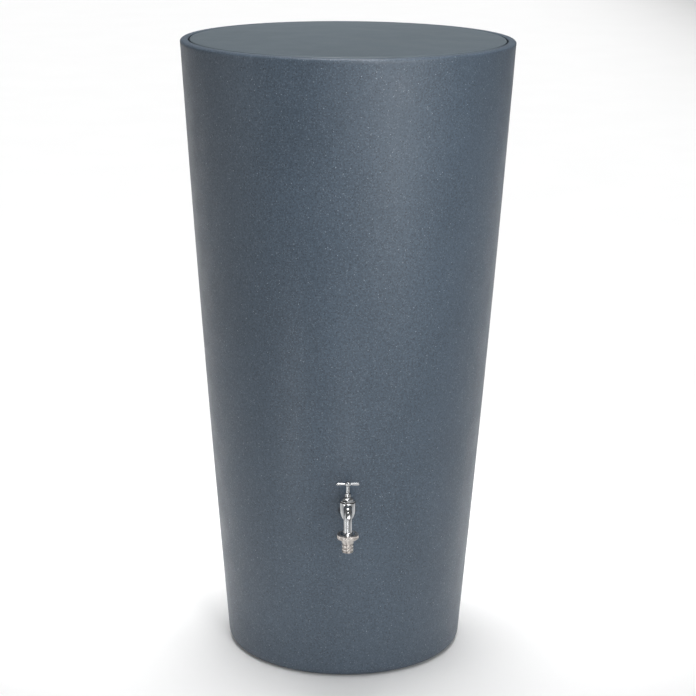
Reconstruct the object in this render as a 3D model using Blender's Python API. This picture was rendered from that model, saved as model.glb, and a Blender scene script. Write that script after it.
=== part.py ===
"""Rain barrel: a tapered one-piece tank with a drop-in lid, a screw-down tap with a hose union, an inlet.

Metres, +Z up. The origin is on the barrel's axis, level with the face that it stands on. The tap faces -Y.
Run with: blender --background --python part.py
"""

from math import cos, pi, radians, sin

import bmesh
import bpy
from mathutils import Matrix, Vector

# ---- Driving dimensions -------------------------------------------------------------------------------
GAP = 0.0003                    # between pieces that touch
PAST = 0.001                    # how far a cutting or joining solid runs past a face

# Tank
HEIGHT = 1.100
TOP_RADIUS = 0.290
BASE_RADIUS = 0.2118            # of the wall's line carried down to the floor
BULGE = 0.0031                  # how far the wall stands outside a straight cone at mid height
WALL = 0.005
BASE_CORNER = 0.015
FOOT_INNER_RADIUS = 0.160
FOOT_HEIGHT = 0.006             # the underside is raised by this inside the standing ring
FOOT_FLOOR = 0.008              # thickness of the floor over the standing ring
RIM_ROUND = 0.0045
RIM_INNER_BEVEL = 0.0015
RIM_WIDTH = 0.014
SEAT_DEPTH = 0.010              # from the rim's top down to the ledge that carries the lid
LEDGE_WIDTH = 0.012
LEDGE_LIP = 0.005
LEDGE_TAPER = 0.027             # below the lip, the height in which the ledge runs back to the wall
INSIDE_CORNER_HEIGHT = 0.030    # where the inside of the wall bends in towards the floor
INSIDE_CORNER_WIDTH = 0.018

# Lid
LID_GAP = 0.0025                # all round, between the lid's edge and the rim
LID_EDGE_PROUD = 0.0005
LID_DOME = 0.005
LID_PLATE = 0.004
LID_EDGE_ROUND = 0.0025
LID_EDGE_WALL = 0.004
LID_SKIRT_GAP = 0.0025          # from the ledge's inner edge
LID_SKIRT_DEPTH = 0.028
LID_SKIRT_WALL = 0.0035
LID_SKIRT_DRAFT = 0.0008
LID_RIBS = 8
LID_RIB_FOOT = 0.014            # below the lid's edge
LID_RIB_WIDTH = 0.003
LID_HUB_RADIUS = 0.038
NOTCH_WIDTH = 0.046             # finger notch in the lid's back edge
NOTCH_DEPTH = 0.009

# Tap. Heights with the prefix T_ are above the top face of the union nut.
NUT_TOP = 0.300                 # above the floor
VALVE_FROM_PAD = 0.0285         # valve axis, out from the flat pad on the wall
SPOUT_FROM_VALVE = 0.025
T_INLET = 0.024
PAD_RADIUS = 0.017
PAD_PROUD = 0.0015
PAD_INSIDE = 0.0079             # how far the boss reaches in from the wall's outer face
SHANK_RADIUS = 0.01048          # G 1/2 pipe thread
SHANK_INSIDE = 0.014            # how far the shank stands out of the boss, inside the tank
WASHER = 0.002
OUTER_WASHER_RADIUS = 0.015
INNER_WASHER_RADIUS = 0.016
BACK_NUT_FLATS = 0.030
BACK_NUT_RADIUS = 0.0168        # the hexagon's corners are turned down to this
BACK_NUT = 0.007
TAP_FLANGE_RADIUS = 0.0135
TAP_FLANGE = 0.003
NECK_RADIUS = 0.009
INLET_BORE = 0.0055
CHAMBER_RADIUS = 0.0142
T_CHAMBER_WIDEST = 0.0395
T_CHAMBER_BOTTOM = 0.0145
T_CHAMBER_TOP = 0.049
EGG_POWER = 0.6                 # below 1, the egg is fuller than an ellipse
T_SEAT = 0.034
SEAT_BORE = 0.0045
SEAT_LIP = 0.0015               # width of the raised lip round the seat
SEAT_LIP_HEIGHT = 0.001
SEAT_THICKNESS = 0.002
LOW_ROOM_RADIUS = 0.0078
T_LOW_ROOM_WIDEST = 0.0245
T_LOW_ROOM_BOTTOM = 0.018
VALVE_ROOM_RADIUS = 0.0098
T_THREAD_FOOT = 0.0435          # lower end of the chamber's thread for the bonnet
BONNET_THREAD_RADIUS = 0.01045
SPOUT_RADIUS = 0.0074
SPOUT_BORE = 0.005
SPOUT_BEND = 0.016
SPOUT_FLARE = 0.0042
T_SPOUT_CREST = 0.0405          # the spout's centre line where it leaves the chamber
T_BORE_CREST = 0.0385
T_OUTLET_TOP = 0.0004
OUTLET_THREAD_RADIUS = 0.0132   # G 3/4 pipe thread
OUTLET_THREAD_LENGTH = 0.0031

# Headwork
BONNET_WASHER = 0.0008
BONNET_FLANGE_RADIUS = 0.013
T_BONNET_HEX = 0.0516
T_BONNET_TOP = 0.0565
BONNET_FLATS = 0.017
SPINDLE_RADIUS = 0.00315
SPINDLE_THREAD_RADIUS = 0.0048
T_SPINDLE_FOOT = 0.038
T_SPINDLE_THREAD_TOP = 0.0473
T_PACKING_FLOOR = 0.0536
PACKING_FLOOR = 0.001
PACKING_ROOM_RADIUS = 0.0047
PACKING = 0.0013
GLAND_SHANK_RADIUS = 0.0044
T_GLAND_TOP = 0.0635
GLAND_FLATS = 0.010
T_JUMPER_DISC = 0.0359
JUMPER_DISC = 0.0018
JUMPER_DISC_RADIUS = 0.007
STEM_RADIUS = 0.002
T_STEM_TOP = 0.0432
STUD_RADIUS = 0.0012
T_STUD_FOOT = 0.0315
VALVE_WASHER_RADIUS = 0.0065
VALVE_NUT_FLATS = 0.005
VALVE_NUT = 0.0021

# Handle
T_HUB_FOOT = 0.0773
T_HUB_TOP = 0.0835
HUB_RADIUS = 0.0052
HUB_BEVEL = 0.001
T_BAR = 0.0803
BAR_HALF_LENGTH = 0.0200
BAR_ROOT_RADIUS = 0.0021
BAR_TIP_RADIUS = 0.0028
TANG = 0.0042                   # side of the square end of the spindle
TANG_BELOW_HUB_TOP = 0.0006
SCREW_RADIUS = 0.0011
SCREW_LENGTH = 0.0053
SCREW_HOLE_DEPTH = 0.006
SCREW_HEAD_RADIUS = 0.0033
SCREW_HEAD = 0.0014
SCREW_SLOT = 0.0008

# Hose union. Depths are below the union nut's top face.
NUT_RADIUS = 0.0183
NUT_HEIGHT = 0.0075
NUT_LIP = 0.0013
NUT_LIP_GAP = 0.0005            # between the nut's lip and the tail
NUT_BEVEL = 0.0009
TAIL_RADIUS = 0.0099
TAIL_BORE = 0.007
TAIL_FLANGE_RADIUS = 0.0128
TAIL_FLANGE = 0.001
TAIL_END = 0.033
TAIL_END_BEVEL = 0.0014
BARB_FIRST_GROOVE = 0.0175
BARB_PITCH = 0.0061
BARB_GROOVES = 3
BARB_DEPTH = 0.0014
UNION_WASHER = 0.0012
UNION_WASHER_RADIUS = 0.0127

# Inlet connector at the back
INLET_HEIGHT = 1.020
INLET_PAD_RADIUS = 0.026
INLET_PAD_PROUD = 0.002
INLET_PAD_INSIDE = 0.0092
INLET_THREAD_RADIUS = 0.0165    # G 1 pipe thread
INLET_TUBE_BORE = 0.013
INLET_FLANGE_RADIUS = 0.0245
INLET_FLANGE_FLATS = 0.044
INLET_FLANGE = 0.004
INLET_WASHER_RADIUS = 0.024
INLET_NUT_RADIUS = 0.0262
INLET_NUT_FLATS = 0.046
INLET_NUT = 0.008
INLET_SHANK_PAST_NUT = 0.003

# Facets
TANK_STEPS = 60
RING_STEPS = 32
SMALL_STEPS = 20

COLOURS = {                     # linear RGB, metallic, roughness
    "granite_plastic": ((0.095, 0.118, 0.148), 0.0, 0.45),
    "lid_plastic": ((0.130, 0.160, 0.180), 0.0, 0.50),
    "chrome": ((0.80, 0.81, 0.82), 1.0, 0.08),
    "satin_nickel": ((0.62, 0.59, 0.55), 1.0, 0.32),
    "brass": ((0.72, 0.52, 0.22), 1.0, 0.30),
    "black_rubber": ((0.02, 0.02, 0.02), 0.0, 0.80),
    "fibre": ((0.30, 0.07, 0.05), 0.0, 0.85),
    "black_plastic": ((0.03, 0.03, 0.035), 0.0, 0.45),
}


def wall_radius(z):
    """Outer radius of the tank's wall at height z."""
    share = z / HEIGHT
    return BASE_RADIUS + (TOP_RADIUS - BASE_RADIUS) * share + BULGE * 4 * share * (1 - share)


# ---- Places worked out from them ----------------------------------------------------------------------
RIM_INNER_RADIUS = TOP_RADIUS - RIM_WIDTH
LEDGE_Z = HEIGHT - SEAT_DEPTH
LEDGE_INNER_RADIUS = RIM_INNER_RADIUS - LEDGE_WIDTH
LID_RADIUS = RIM_INNER_RADIUS - LID_GAP
LID_EDGE_Z = HEIGHT + LID_EDGE_PROUD

TAP_AXIS_Z = NUT_TOP + T_INLET
PAD_Y = -(wall_radius(TAP_AXIS_Z) + PAD_PROUD)
PAD_INNER_Y = -(wall_radius(TAP_AXIS_Z) - PAD_INSIDE)
TAP_AXIS = Vector((0, 0, TAP_AXIS_Z))
VALVE = Vector((0, PAD_Y - VALVE_FROM_PAD, NUT_TOP))
SPOUT = VALVE + Vector((0, -SPOUT_FROM_VALVE, 0))
REACH = -SPOUT.y + NUT_RADIUS       # from the barrel's axis to the nut's front, and to the inlet's end

INLET_AXIS = Vector((0, 0, INLET_HEIGHT))
INLET_PAD_Y = wall_radius(INLET_HEIGHT) + INLET_PAD_PROUD
INLET_PAD_INNER_Y = wall_radius(INLET_HEIGHT) - INLET_PAD_INSIDE

TO_FRONT = Matrix.Rotation(pi / 2, 4, "X")      # turns a +Z axis to -Y
TO_BACK = Matrix.Rotation(-pi / 2, 4, "X")      # turns a +Z axis to +Y
TO_SIDE = Matrix.Rotation(pi / 2, 4, "Y")       # turns a +Z axis to +X


# ---- Helpers ------------------------------------------------------------------------------------------
def clear_scene():
    for obj in list(bpy.data.objects):
        bpy.data.objects.remove(obj, do_unlink=True)


def material(name):
    made = bpy.data.materials.get(name)
    if made:
        return made
    colour, metallic, roughness = COLOURS[name]
    made = bpy.data.materials.new(name)
    made.use_nodes = True
    made.diffuse_color = (*colour, 1)
    shader = made.node_tree.nodes["Principled BSDF"]
    shader.inputs["Base Color"].default_value = (*colour, 1)
    shader.inputs["Metallic"].default_value = metallic
    shader.inputs["Roughness"].default_value = roughness
    return made


def arc(centre, radius, start, end, steps):
    """Points on an arc in a section's plane, from start to end degrees."""
    turns = [radians(start + (end - start) * i / steps) for i in range(steps + 1)]
    return [(centre[0] + radius * cos(t), centre[1] + radius * sin(t)) for t in turns]


def to_object(name, bm, finish, location=(0, 0, 0), turned=None):
    """Makes an object from bm. One with no finish is a cutting or joining tool, and isn't rendered."""
    if turned:
        bmesh.ops.transform(bm, matrix=turned, verts=bm.verts)
    bmesh.ops.recalc_face_normals(bm, faces=bm.faces)
    mesh = bpy.data.meshes.new(name)
    bm.to_mesh(mesh)
    bm.free()
    mesh.shade_smooth()
    mesh.set_sharp_from_angle(angle=radians(32))
    obj = bpy.data.objects.new(name, mesh)
    obj.location = location
    if finish:
        mesh.materials.append(material(finish))
    else:
        obj.hide_render = True
        obj.display_type = "WIRE"
    bpy.context.scene.collection.objects.link(obj)
    return obj


def lathe(name, outline, finish=None, steps=RING_STEPS, location=(0, 0, 0), turned=None):
    """Turns an outline of (r, z) points about +Z. It starts and ends on the axis, or else it makes a ring."""
    bm = bmesh.new()
    corners = [bm.verts.new((r, 0, z)) for r, z in outline]
    edges = [bm.edges.new(pair) for pair in zip(corners, corners[1:])]
    if outline[0][0] > 0:
        edges.append(bm.edges.new((corners[-1], corners[0])))
    bmesh.ops.spin(
        bm, geom=corners + edges, cent=(0, 0, 0), axis=(0, 0, 1), angle=2 * pi, steps=steps, use_merge=True
    )
    bmesh.ops.remove_doubles(bm, verts=bm.verts, dist=1e-6)
    return to_object(name, bm, finish, location, turned)


def tube(name, inner, outer, low, high, finish=None, steps=RING_STEPS, location=(0, 0, 0), turned=None):
    """A plain ring, such as a washer."""
    outline = [(inner, low), (outer, low), (outer, high), (inner, high)]
    return lathe(name, outline, finish, steps, location, turned)


def rod(name, radius, low, high, steps=SMALL_STEPS, location=(0, 0, 0), turned=None):
    """A solid cylinder to cut or join with."""
    return lathe(name, [(0, low), (radius, low), (radius, high), (0, high)], None, steps, location, turned)


def hexagon(name, flats, low, high, location=(0, 0, 0), turned=None):
    """A hexagonal prism to cut with. Two of its flats face -X and +X."""
    bm = bmesh.new()
    corner = flats / 2 / cos(pi / 6)
    bmesh.ops.create_cone(bm, cap_ends=True, segments=6, radius1=corner, radius2=corner, depth=high - low)
    bmesh.ops.translate(bm, vec=(0, 0, (low + high) / 2), verts=bm.verts)
    return to_object(name, bm, None, location, turned)


def block(name, size, low, high, location=(0, 0, 0)):
    """An upright bar of a size across X and Y, to cut or join with."""
    bm = bmesh.new()
    bmesh.ops.create_cube(bm, size=1)
    place = Matrix.Translation((0, 0, (low + high) / 2)) @ Matrix.Diagonal((*size, high - low, 1))
    bmesh.ops.transform(bm, matrix=place, verts=bm.verts)
    return to_object(name, bm, None, location)


def fin(name, outline, width, turn):
    """A flat plate whose outline is (r, z) points, turned about the barrel's axis."""
    bm = bmesh.new()
    face = bm.faces.new([bm.verts.new((r, -width / 2, z)) for r, z in outline])
    grown = bmesh.ops.extrude_face_region(bm, geom=[face])
    moved = [item for item in grown["geom"] if isinstance(item, bmesh.types.BMVert)]
    bmesh.ops.translate(bm, vec=(0, width, 0), verts=moved)
    return to_object(name, bm, None, turned=Matrix.Rotation(turn, 4, "Z"))


def sweep(name, path, radius, steps, location):
    """A round bar along a path of (y, z) points in the plane x = 0."""
    bm = bmesh.new()
    points = [Vector((0, y, z)) for y, z in path]
    side = Vector((1, 0, 0))
    turns = [2 * pi * k / steps for k in range(steps)]
    rings = []
    for i, point in enumerate(points):
        along = (points[min(i + 1, len(points) - 1)] - points[max(i - 1, 0)]).normalized()
        across = along.cross(side)
        rings.append([bm.verts.new(point + radius * (side * cos(t) + across * sin(t))) for t in turns])
    for here, there in zip(rings, rings[1:]):
        for k in range(steps):
            bm.faces.new((here[k], here[(k + 1) % steps], there[(k + 1) % steps], there[k]))
    bm.faces.new(rings[0])
    bm.faces.new(rings[-1])
    return to_object(name, bm, None, location)


def boolean(target, operation, *tools):
    for tool in tools:
        modifier = target.modifiers.new(f"{operation.lower()} {tool.name}", "BOOLEAN")
        modifier.operation = operation
        modifier.object = tool
        modifier.solver = "EXACT"


def cut_flats(obj, flats, low, high, widest, location=(0, 0, 0), turned=None):
    """Cuts six flats on a turned piece between two heights, where its radius is no more than widest."""
    inside = hexagon(obj.name + "_flats", flats, low, high, location, turned)
    bore = flats / 2 - PAST
    sleeve = tube(obj.name + "_sleeve", bore, widest + PAST, low, high, None, 24, location, turned)
    boolean(sleeve, "DIFFERENCE", inside)
    boolean(obj, "DIFFERENCE", sleeve)


# ---- Tank and lid -------------------------------------------------------------------------------------
def tank_outline():
    """The tank's section: out along the underside, up the outside, over the rim and down the inside."""
    under = [(0, FOOT_HEIGHT), (FOOT_INNER_RADIUS - FOOT_HEIGHT, FOOT_HEIGHT), (FOOT_INNER_RADIUS, 0)]
    corner = arc((wall_radius(BASE_CORNER) - BASE_CORNER, BASE_CORNER), BASE_CORNER, -90, 0, 4)
    outside = [(wall_radius(HEIGHT * share), HEIGHT * share) for share in (0.2, 0.4, 0.6, 0.8)]
    rim = arc((TOP_RADIUS - RIM_ROUND, HEIGHT - RIM_ROUND), RIM_ROUND, 0, 90, 3)
    seat = [
        (RIM_INNER_RADIUS + RIM_INNER_BEVEL, HEIGHT),
        (RIM_INNER_RADIUS, HEIGHT - RIM_INNER_BEVEL),
        (RIM_INNER_RADIUS, LEDGE_Z),
        (LEDGE_INNER_RADIUS, LEDGE_Z),
        (LEDGE_INNER_RADIUS, LEDGE_Z - LEDGE_LIP),
    ]
    below_ledge = LEDGE_Z - LEDGE_LIP - LEDGE_TAPER
    inside_heights = (below_ledge, HEIGHT * 0.65, HEIGHT * 0.33, INSIDE_CORNER_HEIGHT)
    inside = [(wall_radius(z) - WALL, z) for z in inside_heights]
    floor = [
        (wall_radius(INSIDE_CORNER_HEIGHT) - WALL - INSIDE_CORNER_WIDTH, FOOT_FLOOR),
        (FOOT_INNER_RADIUS, FOOT_FLOOR),
        (FOOT_INNER_RADIUS - FOOT_HEIGHT, FOOT_HEIGHT + WALL),
        (0, FOOT_HEIGHT + WALL),
    ]
    return under + corner + outside + rim + seat + inside + floor


def build_tank():
    tank = lathe("tank_shell", tank_outline(), "granite_plastic", TANK_STEPS)
    low, high = -PAD_INNER_Y, -PAD_Y
    tap_boss = rod("tap_boss", PAD_RADIUS, low, high, 28, TAP_AXIS, TO_FRONT)
    tap_hole = rod("tap_hole", SHANK_RADIUS + GAP, low - PAST, high + PAST, 24, TAP_AXIS, TO_FRONT)
    low, high = INLET_PAD_INNER_Y, INLET_PAD_Y
    inlet_boss = rod("inlet_boss", INLET_PAD_RADIUS, low, high, 32, INLET_AXIS, TO_BACK)
    hole = INLET_THREAD_RADIUS + GAP
    inlet_hole = rod("inlet_hole", hole, low - PAST, high + PAST, 28, INLET_AXIS, TO_BACK)
    boolean(tank, "UNION", tap_boss, inlet_boss)
    boolean(tank, "DIFFERENCE", tap_hole, inlet_hole)


def lid_top(r):
    """Height of the lid's crowned top face at radius r."""
    return LID_EDGE_Z + LID_DOME * (1 - (r / LID_RADIUS) ** 2)


def build_lid():
    foot = LEDGE_Z + GAP
    plate_foot = LID_EDGE_Z - LID_PLATE
    skirt_foot = LID_EDGE_Z - LID_SKIRT_DEPTH
    skirt_outer = LEDGE_INNER_RADIUS - LID_SKIRT_GAP
    skirt_inner = skirt_outer - LID_SKIRT_WALL
    crown = [(r, lid_top(r)) for r in (0, LID_RADIUS / 3, LID_RADIUS * 2 / 3)]
    round_centre = (LID_RADIUS - LID_EDGE_ROUND, LID_EDGE_Z - LID_EDGE_ROUND)
    edge = arc(round_centre, LID_EDGE_ROUND, 90, 0, 3)
    below = [
        (LID_RADIUS, foot),
        (LID_RADIUS - LID_EDGE_WALL, foot),
        (LID_RADIUS - LID_EDGE_WALL, plate_foot),
        (skirt_outer, plate_foot),
        (skirt_outer - LID_SKIRT_DRAFT, skirt_foot),
        (skirt_inner, skirt_foot),
        (skirt_inner, lid_top(skirt_inner) - LID_PLATE),
        (skirt_inner / 2, lid_top(skirt_inner / 2) - LID_PLATE),
        (0, lid_top(0) - LID_PLATE),
    ]
    lid = lathe("lid", crown + edge + below, "lid_plastic", TANK_STEPS)

    # The ribs and the hub run up into the middle of the plate.
    rib_foot = LID_EDGE_Z - LID_RIB_FOOT
    hub_inner = LID_HUB_RADIUS - LID_RIB_WIDTH
    hub_top = lid_top(LID_HUB_RADIUS) - LID_PLATE / 2
    hub = tube("lid_hub", hub_inner, LID_HUB_RADIUS, rib_foot, hub_top, steps=24)
    boolean(lid, "UNION", hub)
    rib_inner, rib_outer = LID_HUB_RADIUS - LID_RIB_WIDTH / 2, skirt_inner + LID_SKIRT_WALL / 2
    rib_outline = [
        (rib_inner, rib_foot),
        (rib_outer, rib_foot),
        (rib_outer, lid_top(rib_outer) - LID_PLATE / 2),
        (rib_inner, lid_top(rib_inner) - LID_PLATE / 2),
    ]
    for k in range(LID_RIBS):
        turn = 2 * pi * (k + 0.5) / LID_RIBS
        boolean(lid, "UNION", fin(f"lid_rib_{k + 1}", rib_outline, LID_RIB_WIDTH, turn))

    notch_reach = NOTCH_DEPTH * 2
    centre = (0, LID_RADIUS - NOTCH_DEPTH + notch_reach / 2, 0)
    notch = block("lid_notch", (NOTCH_WIDTH, notch_reach), foot - PAST, LID_EDGE_Z + PAST, centre)
    boolean(lid, "DIFFERENCE", notch)


# ---- Tap body -----------------------------------------------------------------------------------------
def spout_path(crest, foot, start):
    """(y, z) along the spout from the valve axis: out, a quarter bend, then down."""
    bend = arc((-(SPOUT_FROM_VALVE - SPOUT_BEND), crest - SPOUT_BEND), SPOUT_BEND, 90, 180, 8)
    return [(start, crest)] + bend + [(-SPOUT_FROM_VALVE, foot)]


def egg(radius, widest, bottom):
    """(r, z) points of a rounded bottom, from the axis out to where it is widest."""
    turns = [radians(a) for a in (-72, -54, -36, -18, 0)]
    drop = widest - bottom
    return [(0, bottom)] + [(radius * cos(t) ** EGG_POWER, widest + drop * sin(t)) for t in turns]


def chamber_outline():
    """The valve chamber: egg-shaped at the bottom, and straight at the top, where the bonnet screws in."""
    wide = egg(CHAMBER_RADIUS, T_CHAMBER_WIDEST, T_CHAMBER_BOTTOM)
    return wide + [(CHAMBER_RADIUS, T_CHAMBER_TOP), (0, T_CHAMBER_TOP)]


def outlet_outline():
    """The flare at the spout's foot and the thread below it."""
    flare_top = T_OUTLET_TOP + SPOUT_FLARE
    flare = arc((SPOUT_RADIUS + SPOUT_FLARE, flare_top), SPOUT_FLARE, 180, 270, 4)
    thread = [(OUTLET_THREAD_RADIUS, T_OUTLET_TOP), (OUTLET_THREAD_RADIUS, -OUTLET_THREAD_LENGTH)]
    return [(0, flare_top)] + flare + thread + [(0, -OUTLET_THREAD_LENGTH)]


def low_room_outline():
    """The room under the seat, where the water comes in."""
    roof = T_SEAT - SEAT_LIP_HEIGHT - SEAT_THICKNESS
    return egg(LOW_ROOM_RADIUS, T_LOW_ROOM_WIDEST, T_LOW_ROOM_BOTTOM) + [(LOW_ROOM_RADIUS, roof), (0, roof)]


def top_room_outline():
    """The room over the seat, where the valve works, and the bonnet's thread."""
    lip, floor = SEAT_BORE + SEAT_LIP, T_SEAT - SEAT_LIP_HEIGHT
    thread_room, top = BONNET_THREAD_RADIUS + GAP, T_CHAMBER_TOP + PAST
    return [
        (0, T_SEAT), (lip, T_SEAT), (lip, floor), (VALVE_ROOM_RADIUS, floor),
        (VALVE_ROOM_RADIUS, T_THREAD_FOOT), (thread_room, T_THREAD_FOOT), (thread_room, top), (0, top),
    ]


def build_tap_body():
    body = lathe("tap_body", chamber_outline(), "chrome", RING_STEPS, VALVE)
    axis = VALVE + Vector((0, 0, T_INLET))
    flange_back = VALVE_FROM_PAD - GAP - WASHER - GAP
    flange_front = flange_back - TAP_FLANGE
    shank_end = VALVE_FROM_PAD + (PAD_INNER_Y - PAD_Y) + SHANK_INSIDE
    neck = rod("tap_neck", NECK_RADIUS, 0, flange_front + PAST, 24, axis, TO_BACK)
    flange = rod("tap_flange", TAP_FLANGE_RADIUS, flange_front, flange_back, 28, axis, TO_BACK)
    shank = rod("tap_shank", SHANK_RADIUS, flange_front + PAST, shank_end, 28, axis, TO_BACK)
    spout = sweep("tap_spout", spout_path(T_SPOUT_CREST, PAST, 0), SPOUT_RADIUS, 24, VALVE)
    outlet = lathe("tap_outlet", outlet_outline(), None, RING_STEPS, SPOUT)
    boolean(body, "UNION", neck, flange, shank, spout, outlet)

    inlet_bore = rod("inlet_bore", INLET_BORE, -PAST, shank_end + PAST, SMALL_STEPS, axis, TO_BACK)
    low_room = lathe("low_room", low_room_outline(), None, 24, VALVE)
    seat_foot = T_SEAT - SEAT_LIP_HEIGHT - SEAT_THICKNESS
    seat_hole = rod("seat_hole", SEAT_BORE, seat_foot - PAST, T_SEAT + PAST, SMALL_STEPS, VALVE)
    top_room = lathe("top_room", top_room_outline(), None, 24, VALVE)
    bore_path = spout_path(T_BORE_CREST, -OUTLET_THREAD_LENGTH - PAST, -SEAT_BORE - SEAT_LIP)
    outlet_bore = sweep("outlet_bore", bore_path, SPOUT_BORE, SMALL_STEPS, VALVE)
    boolean(body, "DIFFERENCE", inlet_bore, low_room, seat_hole, top_room, outlet_bore)


def build_tap_fixing():
    """The washers on both sides of the wall, and the nut that pulls the tap against it."""
    hole = SHANK_RADIUS + GAP
    rubber = ("black_rubber", 28, TAP_AXIS, TO_FRONT)
    outer_low = -PAD_Y + GAP
    tube("tap_outer_washer", hole, OUTER_WASHER_RADIUS, outer_low, outer_low + WASHER, *rubber)
    inner_low = -PAD_INNER_Y - GAP - WASHER
    tube("tap_inner_washer", hole, INNER_WASHER_RADIUS, inner_low, inner_low + WASHER, *rubber)
    nut_high = inner_low - GAP
    nut_low = nut_high - BACK_NUT
    nut = tube("tap_back_nut", hole, BACK_NUT_RADIUS, nut_low, nut_high, "brass", 28, TAP_AXIS, TO_FRONT)
    cut_flats(nut, BACK_NUT_FLATS, nut_low - PAST, nut_high + PAST, BACK_NUT_RADIUS, TAP_AXIS, TO_FRONT)


# ---- Headwork: what closes the top of the chamber and lets the spindle turn ---------------------------
def build_bonnet():
    washer_foot = T_CHAMBER_TOP + GAP
    washer_top = washer_foot + BONNET_WASHER
    fibre = ("fibre", RING_STEPS, VALVE)
    tube("bonnet_washer", BONNET_THREAD_RADIUS + GAP, BONNET_FLANGE_RADIUS, washer_foot, washer_top, *fibre)

    flange_foot = washer_top + GAP
    hex_corner = BONNET_FLATS / 2 / cos(pi / 6)
    rod_room = SPINDLE_RADIUS + GAP
    thread_room = SPINDLE_THREAD_RADIUS + GAP
    thread_roof = T_PACKING_FLOOR - PACKING_FLOOR
    bevel = 0.0004
    outline = [
        (thread_room, T_THREAD_FOOT + GAP),
        (BONNET_THREAD_RADIUS, T_THREAD_FOOT + GAP),
        (BONNET_THREAD_RADIUS, flange_foot),
        (BONNET_FLANGE_RADIUS, flange_foot),
        (BONNET_FLANGE_RADIUS, T_BONNET_HEX - bevel),
        (BONNET_FLANGE_RADIUS - bevel, T_BONNET_HEX),
        (hex_corner, T_BONNET_HEX),
        (hex_corner, T_BONNET_TOP - bevel),
        (hex_corner - 3 * bevel, T_BONNET_TOP),
        (PACKING_ROOM_RADIUS, T_BONNET_TOP),
        (PACKING_ROOM_RADIUS, T_PACKING_FLOOR),
        (rod_room, T_PACKING_FLOOR),
        (rod_room, thread_roof),
        (thread_room, thread_roof),
    ]
    bonnet = lathe("bonnet", outline, "chrome", RING_STEPS, VALVE)
    cut_flats(bonnet, BONNET_FLATS, T_BONNET_HEX, T_BONNET_TOP + PAST, BONNET_FLANGE_RADIUS, VALVE)


def build_gland():
    """The packing round the spindle, and the small nut that presses it down."""
    rod_room = SPINDLE_RADIUS + GAP
    low = T_PACKING_FLOOR + GAP
    rubber = ("black_rubber", SMALL_STEPS, VALVE)
    tube("gland_packing", rod_room, PACKING_ROOM_RADIUS - GAP, low, low + PACKING, *rubber)
    foot = low + PACKING + GAP
    head = T_BONNET_TOP + GAP
    corner = GLAND_FLATS / 2 / cos(pi / 6)
    bevel = 0.0005
    outline = [
        (rod_room, foot),
        (GLAND_SHANK_RADIUS, foot),
        (GLAND_SHANK_RADIUS, head),
        (corner - bevel, head),
        (corner, head + bevel),
        (corner, T_GLAND_TOP - bevel),
        (corner - 2 * bevel, T_GLAND_TOP),
        (rod_room, T_GLAND_TOP),
    ]
    gland = lathe("gland_nut", outline, "chrome", 24, VALVE)
    cut_flats(gland, GLAND_FLATS, head - GAP / 2, T_GLAND_TOP + PAST, corner, VALVE)


def build_valve():
    """The jumper that lifts straight up off the seat, with its washer and the nut that holds the washer."""
    disc_top = T_JUMPER_DISC + JUMPER_DISC
    outline = [
        (0, T_STUD_FOOT), (STUD_RADIUS, T_STUD_FOOT), (STUD_RADIUS, T_JUMPER_DISC),
        (JUMPER_DISC_RADIUS, T_JUMPER_DISC), (JUMPER_DISC_RADIUS, disc_top),
        (STEM_RADIUS, disc_top), (STEM_RADIUS, T_STEM_TOP), (0, T_STEM_TOP),
    ]
    lathe("valve_jumper", outline, "brass", SMALL_STEPS, VALVE)
    hole = STUD_RADIUS + GAP
    foot, top = T_SEAT + GAP, T_JUMPER_DISC - GAP
    tube("valve_washer", hole, VALVE_WASHER_RADIUS, foot, top, "black_rubber", SMALL_STEPS, VALVE)
    nut_corner = VALVE_NUT_FLATS / 2 / cos(pi / 6)
    nut = tube("valve_washer_nut", hole, nut_corner, T_SEAT - VALVE_NUT, T_SEAT, "brass", 12, VALVE)
    cut_flats(nut, VALVE_NUT_FLATS, T_SEAT - VALVE_NUT - PAST, T_SEAT + PAST, nut_corner, VALVE)


# ---- Handle: the spindle, the tee and its screw, which turn together on the valve axis ----------------
def build_spindle():
    tang_foot = T_HUB_FOOT - GAP
    outline = [
        (0, T_SPINDLE_FOOT), (SPINDLE_THREAD_RADIUS, T_SPINDLE_FOOT),
        (SPINDLE_THREAD_RADIUS, T_SPINDLE_THREAD_TOP), (SPINDLE_RADIUS, T_SPINDLE_THREAD_TOP),
        (SPINDLE_RADIUS, tang_foot), (0, tang_foot),
    ]
    spindle = lathe("spindle", outline, "chrome", SMALL_STEPS, VALVE)
    tang = block("spindle_tang", (TANG, TANG), tang_foot - PAST, T_HUB_TOP - TANG_BELOW_HUB_TOP, VALVE)
    stem_hole = rod("stem_hole", STEM_RADIUS + GAP, T_SPINDLE_FOOT - PAST, T_STEM_TOP + 2 * GAP, 16, VALVE)
    hole_foot = T_HUB_TOP - SCREW_HOLE_DEPTH
    screw_hole = rod("screw_hole", SCREW_RADIUS + GAP, hole_foot, T_HUB_TOP + PAST, 12, VALVE)
    boolean(spindle, "UNION", tang)
    boolean(spindle, "DIFFERENCE", stem_hole, screw_hole)


def bar_outline():
    """The tee's bar: thin at the hub, thicker towards its two round ends."""
    tip = arc((0, BAR_HALF_LENGTH - BAR_TIP_RADIUS), BAR_TIP_RADIUS, 0, 90, 4)
    half = [(BAR_ROOT_RADIUS, 0)] + tip[:-1] + [(0, BAR_HALF_LENGTH)]
    return [(r, -z) for r, z in reversed(half)] + half[1:]


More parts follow.
